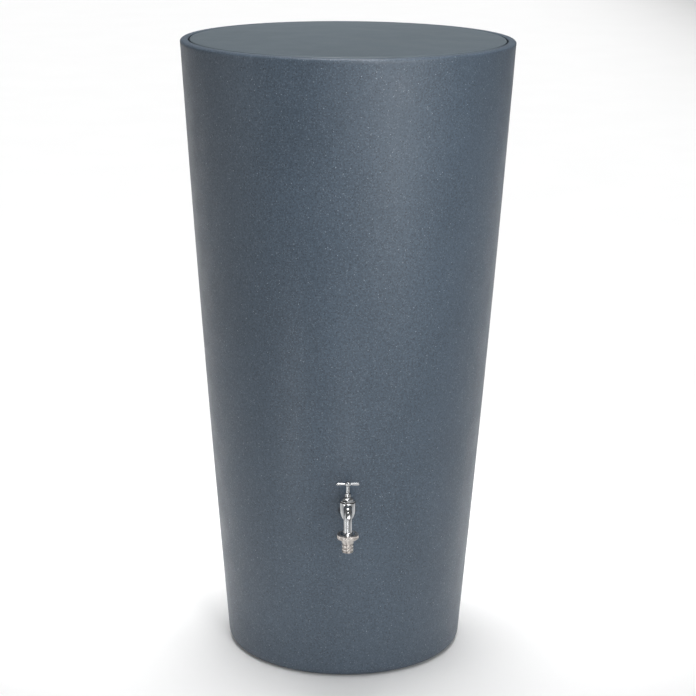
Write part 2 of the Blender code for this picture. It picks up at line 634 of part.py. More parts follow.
def build_tee():
    hub = [
        (0, T_HUB_FOOT), (HUB_RADIUS - HUB_BEVEL, T_HUB_FOOT), (HUB_RADIUS, T_HUB_FOOT + HUB_BEVEL),
        (HUB_RADIUS, T_HUB_TOP - HUB_BEVEL), (HUB_RADIUS - HUB_BEVEL, T_HUB_TOP), (0, T_HUB_TOP),
    ]
    handle = lathe("tee_handle", hub, "chrome", 24, VALVE)
    bar = lathe("tee_bar", bar_outline(), None, 16, VALVE + Vector((0, 0, T_BAR)), TO_SIDE)
    socket = block("hub_socket", (TANG + 2 * GAP,) * 2, T_HUB_FOOT - PAST, T_HUB_TOP + PAST, VALVE)
    boolean(handle, "UNION", bar)
    boolean(handle, "DIFFERENCE", socket)


def build_handle_screw():
    foot = T_HUB_TOP - SCREW_LENGTH
    head, top = T_HUB_TOP + GAP, T_HUB_TOP + GAP + SCREW_HEAD
    outline = [
        (0, foot), (SCREW_RADIUS, foot), (SCREW_RADIUS, head), (SCREW_HEAD_RADIUS, head),
        (SCREW_HEAD_RADIUS, head + SCREW_HEAD / 2), (SCREW_HEAD_RADIUS * 0.7, top), (0, top),
    ]
    screw = lathe("handle_screw", outline, "chrome", 16, VALVE)
    slot_length = 2 * SCREW_HEAD_RADIUS + 2 * PAST
    slot = block("screw_slot", (slot_length, SCREW_SLOT), head + SCREW_HEAD / 2, top + PAST, VALVE)
    boolean(screw, "DIFFERENCE", slot)


# ---- Hose union ---------------------------------------------------------------------------------------
def build_union_nut():
    bore = OUTLET_THREAD_RADIUS + GAP
    lip_bore = TAIL_RADIUS + NUT_LIP_GAP
    outline = [
        (bore, 0), (NUT_RADIUS - NUT_BEVEL, 0), (NUT_RADIUS, -NUT_BEVEL),
        (NUT_RADIUS, -NUT_HEIGHT + NUT_BEVEL), (NUT_RADIUS - NUT_BEVEL, -NUT_HEIGHT),
        (lip_bore, -NUT_HEIGHT), (lip_bore, -NUT_HEIGHT + NUT_LIP), (bore, -NUT_HEIGHT + NUT_LIP),
    ]
    lathe("union_nut", outline, "satin_nickel", 36, SPOUT)


def build_hose_tail():
    flange_foot = -NUT_HEIGHT + NUT_LIP + GAP
    flange_top = flange_foot + TAIL_FLANGE
    outline = [
        (TAIL_BORE, flange_top), (TAIL_FLANGE_RADIUS, flange_top), (TAIL_FLANGE_RADIUS, flange_foot),
        (TAIL_RADIUS, flange_foot),
    ]
    valley = TAIL_RADIUS - BARB_DEPTH
    for k in range(BARB_GROOVES):
        middle = -(BARB_FIRST_GROOVE + k * BARB_PITCH)
        outline += [
            (TAIL_RADIUS, middle + BARB_DEPTH), (valley, middle + BARB_DEPTH / 4),
            (valley, middle - BARB_DEPTH / 4), (TAIL_RADIUS, middle - BARB_DEPTH),
        ]
    outline += [
        (TAIL_RADIUS, -TAIL_END + TAIL_END_BEVEL), (TAIL_RADIUS - TAIL_END_BEVEL, -TAIL_END),
        (TAIL_BORE, -TAIL_END),
    ]
    lathe("hose_tail", outline, "satin_nickel", 28, SPOUT)
    foot, rubber = flange_top + GAP, ("black_rubber", 28, SPOUT)
    tube("union_washer", TAIL_BORE, UNION_WASHER_RADIUS, foot, foot + UNION_WASHER, *rubber)


# ---- Inlet: a threaded connector through the back wall, where the hose from the downpipe joins --------
def build_inlet():
    hole = INLET_THREAD_RADIUS + GAP
    rubber = ("black_rubber", 28, INLET_AXIS, TO_BACK)
    washer_low = INLET_PAD_Y + GAP
    washer_high = washer_low + WASHER
    tube("inlet_outer_washer", hole, INLET_WASHER_RADIUS, washer_low, washer_high, *rubber)
    inner_low = INLET_PAD_INNER_Y - GAP - WASHER
    tube("inlet_inner_washer", hole, INLET_WASHER_RADIUS, inner_low, inner_low + WASHER, *rubber)
    nut_high = inner_low - GAP
    nut_low = nut_high - INLET_NUT
    plastic = ("black_plastic", 28, INLET_AXIS, TO_BACK)
    nut = tube("inlet_back_nut", hole, INLET_NUT_RADIUS, nut_low, nut_high, *plastic)
    cut_flats(nut, INLET_NUT_FLATS, nut_low - PAST, nut_high + PAST, INLET_NUT_RADIUS, INLET_AXIS, TO_BACK)

    flange_low = washer_high + GAP
    flange_high = flange_low + INLET_FLANGE
    shank_end = nut_low - INLET_SHANK_PAST_NUT
    mouth_bevel = 0.001
    outline = [
        (INLET_TUBE_BORE, shank_end), (INLET_THREAD_RADIUS, shank_end), (INLET_THREAD_RADIUS, flange_low),
        (INLET_FLANGE_RADIUS, flange_low), (INLET_FLANGE_RADIUS, flange_high),
        (INLET_THREAD_RADIUS, flange_high), (INLET_THREAD_RADIUS, REACH - mouth_bevel),
        (INLET_THREAD_RADIUS - mouth_bevel, REACH), (INLET_TUBE_BORE, REACH),
    ]
    connector = lathe("inlet_connector", outline, "black_plastic", 36, INLET_AXIS, TO_BACK)
    flange = (flange_low - GAP / 2, flange_high + GAP / 2)
    cut_flats(connector, INLET_FLANGE_FLATS, *flange, INLET_FLANGE_RADIUS, INLET_AXIS, TO_BACK)


def main():
    clear_scene()
    build_tank()
    build_lid()
    build_tap_body()
    build_tap_fixing()
    build_bonnet()
    build_gland()
    build_valve()
    build_spindle()
    build_tee()
    build_handle_screw()
    build_union_nut()
    build_hose_tail()
    build_inlet()


main()
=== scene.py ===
"""The looks of the rain barrel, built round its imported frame.

Metres, +Z up. The outlines of the tap and the inlet are in millimetres, as (radius, height) points. Heights along
the valve and spout axes are above the union nut's top face. Those along the tap's horizontal axis are behind the
valve's axis, and those along the inlet's are behind the barrel's.
"""

from math import atan2, cos, hypot, pi, radians, sin

import bmesh
import bpy
from mathutils import Matrix, Vector


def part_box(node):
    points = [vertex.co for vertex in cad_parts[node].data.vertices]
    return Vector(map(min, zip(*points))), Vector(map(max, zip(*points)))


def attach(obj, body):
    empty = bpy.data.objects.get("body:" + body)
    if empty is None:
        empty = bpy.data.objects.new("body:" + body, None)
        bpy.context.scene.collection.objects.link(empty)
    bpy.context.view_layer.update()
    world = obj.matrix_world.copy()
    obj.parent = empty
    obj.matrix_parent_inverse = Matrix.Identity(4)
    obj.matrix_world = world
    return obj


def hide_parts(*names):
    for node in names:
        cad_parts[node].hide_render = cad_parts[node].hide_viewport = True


MM = 0.001
AXIS_RADIUS = 1e-7              # a point nearer the axis than this is on it

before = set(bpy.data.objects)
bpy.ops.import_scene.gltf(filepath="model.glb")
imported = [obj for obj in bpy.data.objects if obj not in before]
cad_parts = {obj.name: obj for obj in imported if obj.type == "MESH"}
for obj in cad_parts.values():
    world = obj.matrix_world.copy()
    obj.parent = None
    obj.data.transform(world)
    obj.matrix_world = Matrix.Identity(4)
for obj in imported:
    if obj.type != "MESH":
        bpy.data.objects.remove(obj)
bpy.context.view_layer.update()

# ---- Places read from the frame -----------------------------------------------------------------------


def middle(name):
    low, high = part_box(name)
    return (low + high) / 2


def heights(name, axis_foot):
    """The foot and top of a node, in millimetres above a point on the valve or spout axis."""
    low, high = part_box(name)
    return (low.z - axis_foot.z) / MM, (high.z - axis_foot.z) / MM


TANK_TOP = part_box("tank_shell")[1]
HEIGHT, TOP_RADIUS = TANK_TOP.z, TANK_TOP.x
LID_LOW, LID_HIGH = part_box("lid")
NUT_LOW, NUT_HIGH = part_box("union_nut")
SPOUT = Vector((0, middle("union_nut").y, NUT_HIGH.z))
VALVE = Vector((0, middle("bonnet_washer").y, NUT_HIGH.z))
TAP_AXIS = Vector((0, 0, middle("tap_outer_washer").z))
INLET_AXIS = Vector((0, 0, middle("inlet_outer_washer").z))

GAP = 0.0003                    # the CAD model leaves this between pieces that touch
PAD_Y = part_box("tap_outer_washer")[1].y + GAP
PAD_INNER_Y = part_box("tap_inner_washer")[0].y - GAP
INLET_PAD_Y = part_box("inlet_outer_washer")[0].y - GAP
INLET_PAD_INNER_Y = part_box("inlet_inner_washer")[1].y + GAP

TO_FRONT = Matrix.Rotation(pi / 2, 4, "X")      # turns a +Z axis to -Y
TO_BACK = Matrix.Rotation(-pi / 2, 4, "X")      # turns a +Z axis to +Y
TO_SIDE = Matrix.Rotation(pi / 2, 4, "Y")       # turns a +Z axis to +X
AT_VALVE = Matrix.Translation(VALVE)
AT_SPOUT = Matrix.Translation(SPOUT)
AT_TAP_HOLE = Matrix.Translation(TAP_AXIS) @ TO_FRONT
AT_INLET = Matrix.Translation(INLET_AXIS) @ TO_BACK

# ---- The tank's and lid's shape -----------------------------------------------------------------------
BASE_RADIUS = 0.2118            # of the wall's line carried down to the floor
BULGE = 0.0031
WALL = 0.005
BASE_CORNER = 0.015
FOOT_INNER_RADIUS = 0.160
FOOT_HEIGHT = 0.006
FOOT_FLOOR = 0.008
FOOT_EDGE_ROUND = 0.002
FLOOR_ROUND = 0.008             # of the inside corners round the floor
RIM_ROUND = 0.0045
RIM_WIDTH = 0.014
SEAT_DEPTH = 0.010
LEDGE_WIDTH = 0.012
LEDGE_LIP = 0.005
LEDGE_TAPER = 0.027
SEAT_ROUND = 0.0016
INSIDE_CORNER_HEIGHT = 0.030
INSIDE_CORNER_WIDTH = 0.018
PAD_ROLL = 0.005                # width of the fillet round a flat pad
TAP_PAD_RADIUS = 0.017
INLET_PAD_RADIUS = 0.026
TAP_HOLE_RADIUS = 0.01078
INLET_HOLE_RADIUS = 0.0168
FINE_STEP = 0.0018              # of the wall's mesh round the two pads
COARSE_STEP = 0.016             # and elsewhere

LID_DOME = 0.005
LID_PLATE = 0.004
LID_EDGE_ROUND = 0.0025
LID_EDGE_WALL = 0.004
LID_UNDER_ROUND = 0.0008
LID_SKIRT_RADIUS = 0.2615
LID_SKIRT_WALL = 0.0035
LID_SKIRT_DRAFT = 0.0008
LID_RIBS = 8
LID_RIB_DEPTH = 0.014
LID_RIB_WIDTH = 0.003
LID_HUB_RADIUS = 0.038
NOTCH_WIDTH = 0.046
NOTCH_DEPTH = 0.009
NOTCH_ROUND = 0.003


# ---- Mesh helpers -------------------------------------------------------------------------------------
def arc(centre, radius, start, end, steps):
    """Points on an arc in a section's plane, from start to end degrees."""
    turns = [radians(start + (end - start) * i / steps) for i in range(steps + 1)]
    return [(centre[0] + radius * cos(t), centre[1] + radius * sin(t)) for t in turns]


def run(start, end, step):
    """Points from start towards end, about step apart, without the end itself."""
    start, end = Vector(start), Vector(end)
    count = max(1, round((end - start).length / step))
    return [tuple(start.lerp(end, i / count)) for i in range(count)]


def round_corner(before, here, after, radius, steps):
    """Points of a smooth turn at a corner, from one side of it to the other."""
    before, here, after = Vector(before), Vector(here), Vector(after)
    cut = min(radius, (before - here).length * 0.48, (after - here).length * 0.48)
    start, end = here + (before - here).normalized() * cut, here + (after - here).normalized() * cut
    shares = [k / steps for k in range(steps + 1)]
    return [tuple(start.lerp(here, share).lerp(here.lerp(end, share), share)) for share in shares]


def soften_inner(outline, radius, steps=3):
    """Rounds the corners of an outline between its two ends, and leaves the ends out."""
    soft = []
    for before, here, after in zip(outline, outline[1:], outline[2:]):
        soft += round_corner(before, here, after, radius, steps)
    return soft


def soften_axis(outline, radius, steps=3):
    """Rounds the corners of an outline whose ends stay where they are, on the axis or at another outline."""
    return [outline[0]] + soften_inner(outline, radius, steps) + [outline[-1]]


def soften_ring(outline, radius, steps=3):
    """Rounds every corner of a closed outline."""
    return soften_inner([outline[-1]] + outline + [outline[0]], radius, steps)


def rod_outline(radius, low, high):
    return [(0, low), (radius, low), (radius, high), (0, high)]


def millimetres(outline):
    return [(r * MM, z * MM) for r, z in outline]


def to_object(name, bm, place=None):
    if place:
        bmesh.ops.transform(bm, matrix=place, verts=bm.verts)
    bmesh.ops.recalc_face_normals(bm, faces=bm.faces)
    mesh = bpy.data.meshes.new(name)
    bm.to_mesh(mesh)
    bm.free()
    obj = bpy.data.objects.new(name, mesh)
    bpy.context.scene.collection.objects.link(obj)
    return obj


def lathe(name, outline, steps=96, place=None, turns=None, reshape=None):
    """Turns an outline of (r, z) points about +Z, closed on itself unless it starts and ends on the axis.
    turns lists the angles where they aren't even, and reshape moves a point of the turned shape."""
    turns = turns or [2 * pi * k / steps for k in range(steps)]
    bm = bmesh.new()
    rings = []
    for r, z in outline:
        points = [Vector((r * cos(t), r * sin(t), z)) for t in (turns if r > AXIS_RADIUS else [0])]
        rings.append([bm.verts.new(reshape(p) if reshape else p) for p in points])
    pairs = list(zip(rings, rings[1:]))
    if outline[0][0] > AXIS_RADIUS:
        pairs.append((rings[-1], rings[0]))
    for low, high in pairs:
        for k in range(len(turns)):
            here, there = low[k % len(low)], low[(k + 1) % len(low)]
            corners = [here, there, high[(k + 1) % len(high)], high[k % len(high)]]
            face = list(dict.fromkeys(corners))         # at the axis, two of the four are one point
            if len(face) > 2:
                bm.faces.new(face)
    return to_object(name, bm, place)


def sweep(name, path, radius, steps, place):
    """A round bar along a path of (y, z) points in the plane x = 0."""
    bm = bmesh.new()
    points, side = [Vector((0, y, z)) for y, z in path], Vector((1, 0, 0))
    turns = [2 * pi * k / steps for k in range(steps)]
    rings = []
    for i, point in enumerate(points):
        along = (points[min(i + 1, len(points) - 1)] - points[max(i - 1, 0)]).normalized()
        across = along.cross(side)
        rings.append([bm.verts.new(point + radius * (side * cos(t) + across * sin(t))) for t in turns])
    for here, there in zip(rings, rings[1:]):
        for k in range(steps):
            bm.faces.new((here[k], here[(k + 1) % steps], there[(k + 1) % steps], there[k]))
    bm.faces.new(rings[0])
    bm.faces.new(rings[-1])
    return to_object(name, bm, place)


def prism(name, outline, low, high, place=None):
    """An outline of (x, y) points, pulled up from low to high."""
    bm = bmesh.new()
    face = bm.faces.new([bm.verts.new((x, y, low)) for x, y in outline])
    grown = bmesh.ops.extrude_face_region(bm, geom=[face])
    moved = [item for item in grown["geom"] if isinstance(item, bmesh.types.BMVert)]
    bmesh.ops.translate(bm, vec=(0, 0, high - low), verts=moved)
    return to_object(name, bm, place)


def hexagon(flats):
    """(x, y) corners of a hexagon with two of its flats facing -X and +X."""
    corner = flats / 2 / cos(pi / 6)
    return [(corner * cos(t), corner * sin(t)) for t in (pi / 6 + pi / 3 * k for k in range(6))]


def oblong(width, depth):
    x, y = width / 2, depth / 2
    return [(-x, -y), (x, -y), (x, y), (-x, y)]


def apply_modifiers(obj):
    bpy.context.view_layer.update()
    graph = bpy.context.evaluated_depsgraph_get()
    mesh = bpy.data.meshes.new_from_object(obj.evaluated_get(graph))
    obj.modifiers.clear()
    obj.data = mesh
    return obj


def combine(obj, operation, *tools, solver="EXACT"):
    """Joins, cuts or intersects obj with tools, which are used up."""
    for tool in tools:
        modifier = obj.modifiers.new(operation, "BOOLEAN")
        modifier.operation, modifier.object, modifier.solver = operation, tool, solver
    apply_modifiers(obj)
    for tool in tools:
        bpy.data.objects.remove(tool)
    return obj


def cast(obj, voxel, passes):
    """Gives obj the soft inside corners and edges of a casting."""
    remesh = obj.modifiers.new("voxels", "REMESH")
    remesh.mode, remesh.voxel_size = "VOXEL", voxel
    smooth = obj.modifiers.new("soft", "SMOOTH")
    smooth.factor, smooth.iterations = 0.5, passes
    return apply_modifiers(obj)


def bevel(obj, width, angle=25):
    """Breaks the sharp edges that a Boolean leaves."""
    modifier = obj.modifiers.new("edges", "BEVEL")
    modifier.width, modifier.segments = width, 2
    modifier.limit_method, modifier.angle_limit = "ANGLE", radians(angle)
    modifier.use_clamp_overlap = True
    return apply_modifiers(obj)


def screw_thread(radius, pitch, depth, low, high):
    """A reshape for lathe: cuts a round-bottomed right-hand thread in the skin at that radius."""
    def reshape(point):
        r = hypot(point.x, point.y)
        if abs(r - radius) > depth * 0.01 or not low < point.z < high:
            return point
        phase = point.z / pitch - atan2(point.y, point.x) / (2 * pi)
        fade = min(1, (point.z - low) / pitch, (high - point.z) / pitch)
        scale = 1 - depth * fade * (0.5 - 0.5 * cos(2 * pi * phase)) / r
        return Vector((point.x * scale, point.y * scale, point.z))
    return reshape


def finish(obj, node, material, body, crease=35):
    """Puts a piece in place of a CAD node, with its material, on the body that it moves with."""
    obj.data.materials.clear()
    obj.data.materials.append(material)
    obj.data.shade_smooth()
    obj.data.set_sharp_from_angle(angle=radians(crease))
    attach(obj, body)
    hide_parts(node)
    return obj


# ---- Materials ----------------------------------------------------------------------------------------
def new_material(name):
    """A material with a Principled shader, and the object's own coordinates to lay patterns out in."""
    material = bpy.data.materials.new(name)
    material.use_nodes = True
    tree = material.node_tree
    place = tree.nodes.new("ShaderNodeTexCoord").outputs["Object"]
    return material, tree, tree.nodes["Principled BSDF"], place


def node(tree, kind, sockets=None, **settings):
    """Adds a node. A socket's value is a number, a colour, or another node's output to link."""
    made = tree.nodes.new(kind)
    for key, value in settings.items():
        setattr(made, key, value)
    for key, value in (sockets or {}).items():
        if isinstance(value, bpy.types.NodeSocket):
            tree.links.new(value, made.inputs[key])
        else:
            made.inputs[key].default_value = value
    return made


def noise(tree, place, scale, detail=2.0, roughness=0.5):
    sockets = {"Vector": place, "Scale": scale, "Detail": detail, "Roughness": roughness}
    return node(tree, "ShaderNodeTexNoise", sockets).outputs["Fac"]


def between(tree, value, low, high, new_low, new_high):
    """Maps value from low..high to new_low..new_high, and stops at the ends."""
    sockets = {"Value": value, "From Min": low, "From Max": high, "To Min": new_low, "To Max": new_high}
    return node(tree, "ShaderNodeMapRange", sockets, interpolation_type="SMOOTHSTEP").outputs["Result"]


def calculate(tree, operation, a, b):
    return node(tree, "ShaderNodeMath", {0: a, 1: b}, operation=operation).outputs[0]


def mix(tree, share, a, b):
    """A colour between a and b."""
    made = node(tree, "ShaderNodeMix", data_type="RGBA")
    for index, value in ((0, share), (6, a), (7, b)):
        if isinstance(value, bpy.types.NodeSocket):
            tree.links.new(value, made.inputs[index])
        else:
            made.inputs[index].default_value = value
    return made.outputs[2]


def shaded(tree, colour, factor):
    """A colour made lighter or darker by a factor."""
    value = colour if isinstance(colour, bpy.types.NodeSocket) else colour[:3]
    sockets = {0: value, "Scale": factor}
    return node(tree, "ShaderNodeVectorMath", sockets, operation="SCALE").outputs["Vector"]


def bump(tree, shader, height, distance, strength=1.0):
    sockets = {"Height": height, "Distance": distance, "Strength": strength}
    made = node(tree, "ShaderNodeBump", sockets)
    tree.links.new(made.outputs["Normal"], shader.inputs["Normal"])


def flecks(tree, place, scale, size, share):
    """1 on round flecks, 0 between them. size is their radius in cells, and share the cells that hold one."""
    cells = node(tree, "ShaderNodeTexVoronoi", {"Vector": place, "Scale": scale, "Randomness": 1.0})
    dot = between(tree, cells.outputs["Distance"], size * 0.6, size, 1.0, 0.0)
    pick = node(tree, "ShaderNodeSeparateColor", {"Color": cells.outputs["Color"]}).outputs["Red"]
    return calculate(tree, "MULTIPLY", dot, calculate(tree, "LESS_THAN", pick, share))


def granite_plastic():
    """Rotation-moulded polyethylene, slate grey with a fine pale and dark speckle under a satin skin; its sparse
    brightest flecks are partly pale speckle and partly painted glints.
    """
    material, tree, shader, place = new_material("granite_plastic")
    slate, dark = (0.060, 0.083, 0.112, 1), (0.024, 0.034, 0.048, 1)
    pale, bright = (0.140, 0.174, 0.213, 1), (0.300, 0.350, 0.400, 1)
    clouds = between(tree, noise(tree, place, 7, 3), 0.3, 0.7, 0.95, 1.05)
    grain = between(tree, noise(tree, place, 330, 2, 0.7), 0.25, 0.75, 0.72, 1.30)
    colour = shaded(tree, slate, calculate(tree, "MULTIPLY", clouds, grain))
    colour = mix(tree, flecks(tree, place, 340, 0.34, 0.22), colour, dark)
    colour = mix(tree, flecks(tree, place, 390, 0.36, 0.30), colour, pale)
    # sparse bright flecks: partly the plastic's pale speckle, partly painted glints that stand in for the sparkle
    # of the satin highlight
    colour = mix(tree, flecks(tree, place, 250, 0.22, 0.06), colour, bright)
    tree.links.new(colour, shader.inputs["Base Color"])
    skin = between(tree, noise(tree, place, 24, 3), 0.3, 0.7, 0.40, 0.47)
    tree.links.new(skin, shader.inputs["Roughness"])
    shader.inputs["IOR"].default_value = 1.5
    waves = calculate(tree, "MULTIPLY", noise(tree, place, 90, 1), 0.8)
    pits = calculate(tree, "ADD", noise(tree, place, 620, 2), waves)
    bump(tree, shader, pits, 0.00022, 0.5)
    return material


def lid_plastic():
    """The same plastic with a finer, more even skin, as the lid has."""
    material, tree, shader, place = new_material("lid_plastic")
    slate = (0.078, 0.101, 0.119, 1)
    clouds = between(tree, noise(tree, place, 5, 3), 0.3, 0.7, 0.96, 1.04)
    grain = between(tree, noise(tree, place, 420, 2, 0.6), 0.25, 0.75, 0.90, 1.10)
    colour = shaded(tree, slate, calculate(tree, "MULTIPLY", clouds, grain))
    colour = mix(tree, flecks(tree, place, 300, 0.20, 0.05), colour, (0.20, 0.23, 0.25, 1))
    tree.links.new(colour, shader.inputs["Base Color"])
    skin = between(tree, noise(tree, place, 18, 3), 0.3, 0.7, 0.45, 0.49)
    tree.links.new(skin, shader.inputs["Roughness"])
    shader.inputs["IOR"].default_value = 1.5
    bump(tree, shader, noise(tree, place, 900, 2), 0.00012, 0.4)
    return material


def metal(name, colour, rough_low, rough_high):
    """A bare or plated metal whose polish varies a little."""
    material, tree, shader, place = new_material(name)
    tone = between(tree, noise(tree, place, 130, 3), 0.3, 0.7, 0.94, 1.0)
    tree.links.new(shaded(tree, colour, tone), shader.inputs["Base Color"])
    shader.inputs["Metallic"].default_value = 1.0
    smear = between(tree, noise(tree, place, 260, 4, 0.6), 0.3, 0.7, rough_low, rough_high)
    tree.links.new(smear, shader.inputs["Roughness"])
    return material


def matte(name, colour, grain, rough_low, rough_high, depth):
    """Rubber, fibre or a moulded plastic: one colour with a fine grain, which also roughens the surface."""
    material, tree, shader, place = new_material(name)
    pattern = noise(tree, place, grain, 3, 0.6)
    tone = between(tree, pattern, 0.3, 0.7, 0.85, 1.15)
    tree.links.new(shaded(tree, colour, tone), shader.inputs["Base Color"])
    skin = between(tree, noise(tree, place, grain / 6, 2), 0.3, 0.7, rough_low, rough_high)
    tree.links.new(skin, shader.inputs["Roughness"])
    bump(tree, shader, pattern, depth, 0.5)
    return material


def make_materials():
    return {
        "granite_plastic": granite_plastic(),
        "lid_plastic": lid_plastic(),
        "chrome": metal("chrome", (0.50, 0.51, 0.52, 1), 0.05, 0.09),
        "satin_nickel": metal("satin_nickel", (0.60, 0.565, 0.535, 1), 0.24, 0.34),
        "brass": metal("brass", (0.72, 0.50, 0.20, 1), 0.24, 0.36),
        "black_rubber": matte("black_rubber", (0.018, 0.018, 0.019, 1), 900, 0.72, 0.85, 0.00008),
        "fibre": matte("fibre", (0.050, 0.042, 0.036, 1), 500, 0.75, 0.88, 0.00006),
        "black_plastic": matte("black_plastic", (0.028, 0.028, 0.031, 1), 700, 0.38, 0.48, 0.00006),
    }


# ---- Tank ---------------------------------------------------------------------------------------------
def wall_radius(z):
    share = z / HEIGHT
    return BASE_RADIUS + (TOP_RADIUS - BASE_RADIUS) * share + BULGE * 4 * share * (1 - share)


def wall_heights(low, high):
    """Heights up the wall: close together round the two pads, and wide apart elsewhere."""
    ahead, shortest = 0.004, 0.002
    rows, z = [], low
    while z < high - shortest:
        rows.append(z)
        near_tap = abs(z + ahead - TAP_AXIS.z) < TAP_PAD_RADIUS + 3 * PAD_ROLL
        near_inlet = abs(z + ahead - INLET_AXIS.z) < INLET_PAD_RADIUS + 3 * PAD_ROLL
        z += FINE_STEP if near_tap or near_inlet else COARSE_STEP
    return rows + [high]


def wall_turns():
    """Angles round the wall: close together towards -Y and +Y, where the pads are."""
    turns = [radians(1.5 * k) for k in range(240)]
    for centre in (270, 90):
        turns += [radians(centre + 0.4 * k) for k in range(-22, 23)]
    turns.sort()
    kept = turns[:1]
    for turn in turns[1:]:
        if turn - kept[-1] > radians(0.15):
            kept.append(turn)
    return kept


def press_pads(point):
    """Presses the wall flat, outside and inside, where the tap and the inlet are clamped on it."""
    outside = hypot(point.x, point.y) > wall_radius(point.z) - WALL / 2
    pads = (
        (TAP_AXIS.z, -1, TAP_PAD_RADIUS, PAD_Y if outside else PAD_INNER_Y),
        (INLET_AXIS.z, 1, INLET_PAD_RADIUS, INLET_PAD_Y if outside else INLET_PAD_INNER_Y),
    )
    for z, side, radius, face in pads:
        away = hypot(point.x, point.z - z)
        if point.y * side > 0 and away < radius + PAD_ROLL:
            share = min(1, (radius + PAD_ROLL - away) / PAD_ROLL)
            share = share * share * (3 - 2 * share)
            return Vector((point.x, point.y + (face - point.y) * share, point.z))
    return point


def tank_outline():
    corner_radius = wall_radius(BASE_CORNER)
    rim_inner = TOP_RADIUS - RIM_WIDTH
    ledge_z, ledge_inner = HEIGHT - SEAT_DEPTH, rim_inner - LEDGE_WIDTH
    below_ledge = ledge_z - LEDGE_LIP - LEDGE_TAPER
    inside_corner = wall_radius(INSIDE_CORNER_HEIGHT) - WALL
    under = soften_axis([
        (0, FOOT_HEIGHT), (FOOT_INNER_RADIUS - FOOT_HEIGHT, FOOT_HEIGHT), (FOOT_INNER_RADIUS, 0),
        (corner_radius - BASE_CORNER, 0),
    ], FOOT_EDGE_ROUND)
    corner = arc((corner_radius - BASE_CORNER, BASE_CORNER), BASE_CORNER, -88, 0, 14)
    outside = [(wall_radius(z), z) for z in wall_heights(BASE_CORNER + 0.010, HEIGHT - RIM_ROUND - 0.004)]
    rim = arc((TOP_RADIUS - RIM_ROUND, HEIGHT - RIM_ROUND), RIM_ROUND, 0, 90, 9)
    seat = soften_inner([
        rim[-1], (rim_inner, HEIGHT), (rim_inner, ledge_z), (ledge_inner, ledge_z),
        (ledge_inner, ledge_z - LEDGE_LIP), (wall_radius(below_ledge) - WALL, below_ledge),
        (inside_corner, 1.0),           # sets the direction that the last corner turns to
    ], SEAT_ROUND, 4)
    inside_heights = reversed(wall_heights(INSIDE_CORNER_HEIGHT, below_ledge - 0.006))
    inside = [(wall_radius(z) - WALL, z) for z in inside_heights]
    centre = (0, FOOT_HEIGHT + WALL)
    floor = soften_inner([
        (inside_corner, INSIDE_CORNER_HEIGHT),
        (inside_corner - INSIDE_CORNER_WIDTH, FOOT_FLOOR),
        (FOOT_INNER_RADIUS, FOOT_FLOOR),
        (FOOT_INNER_RADIUS - FOOT_HEIGHT, FOOT_HEIGHT + WALL),
        centre,
    ], FLOOR_ROUND, 4)
    return under + corner + outside + rim[1:-1] + seat + inside + floor + [centre]


def build_tank(materials):
    tank = lathe("tank", tank_outline(), turns=wall_turns(), reshape=press_pads)
    past = 0.002
    tap_hole = rod_outline(TAP_HOLE_RADIUS, -PAD_INNER_Y - past, -PAD_Y + past)
    inlet_hole = rod_outline(INLET_HOLE_RADIUS, INLET_PAD_INNER_Y - past, INLET_PAD_Y + past)
    holes = [
        lathe("tap_hole", tap_hole, 64, AT_TAP_HOLE),
        lathe("inlet_hole", inlet_hole, 80, AT_INLET),
    ]
    combine(tank, "DIFFERENCE", *holes)
    finish(tank, "tank_shell", materials["granite_plastic"], "barrel", 40)


# ---- Lid ----------------------------------------------------------------------------------------------
def lid_top(r):
    """Height of the lid's crown at a radius."""
    return LID_HIGH.z - LID_DOME + LID_DOME * (1 - (r / LID_HIGH.x) ** 2)


def lid_outline():
    radius, edge_z, foot = LID_HIGH.x, LID_HIGH.z - LID_DOME, HEIGHT - SEAT_DEPTH + GAP
    skirt_inner, plate_edge = LID_SKIRT_RADIUS - LID_SKIRT_WALL, LID_SKIRT_RADIUS * 0.8
    crown = [(r, lid_top(r)) for r in (radius * k / 30 for k in range(29))]
    edge = arc((radius - LID_EDGE_ROUND, edge_z - LID_EDGE_ROUND), LID_EDGE_ROUND, 80, 0, 8)
    below = soften_inner([
        edge[-1],
        (radius, foot),
        (radius - LID_EDGE_WALL, foot),
        (radius - LID_EDGE_WALL, edge_z - LID_PLATE),
        (LID_SKIRT_RADIUS, edge_z - LID_PLATE),
        (LID_SKIRT_RADIUS - LID_SKIRT_DRAFT, LID_LOW.z),
        (skirt_inner, LID_LOW.z),
        (skirt_inner, lid_top(LID_SKIRT_RADIUS) - LID_PLATE),
        (plate_edge, lid_top(plate_edge) - LID_PLATE),
    ], LID_UNDER_ROUND)
    ceiling = [(r, lid_top(r) - LID_PLATE) for r in (LID_SKIRT_RADIUS * k / 10 for k in range(8, -1, -1))]
    return crown + edge + below + ceiling


def lid_ribs():
    """A round hub under the lid, and the ribs from it to the skirt."""
    foot = LID_HIGH.z - LID_DOME - LID_RIB_DEPTH
    hub_inner, hub_roof = LID_HUB_RADIUS - LID_RIB_WIDTH, lid_top(LID_HUB_RADIUS) - LID_PLATE / 2
    hub = [(hub_inner, foot), (LID_HUB_RADIUS, foot), (LID_HUB_RADIUS, hub_roof), (hub_inner, hub_roof)]
    inner, outer = LID_HUB_RADIUS - LID_RIB_WIDTH / 2, LID_SKIRT_RADIUS - LID_SKIRT_WALL / 2
    outline = [
        (inner, foot), (outer, foot),
        (outer, lid_top(outer) - LID_PLATE / 2), (inner, lid_top(inner) - LID_PLATE / 2),
    ]
    ribs = [lathe("lid_hub", hub, 72)]
    for k in range(LID_RIBS):
        turn = Matrix.Rotation(2 * pi * (k + 0.5) / LID_RIBS, 4, "Z")
        upright = turn @ Matrix.Rotation(pi / 2, 4, "X")
        ribs.append(prism(f"lid_rib_{k + 1}", outline, -LID_RIB_WIDTH / 2, LID_RIB_WIDTH / 2, upright))
    return ribs


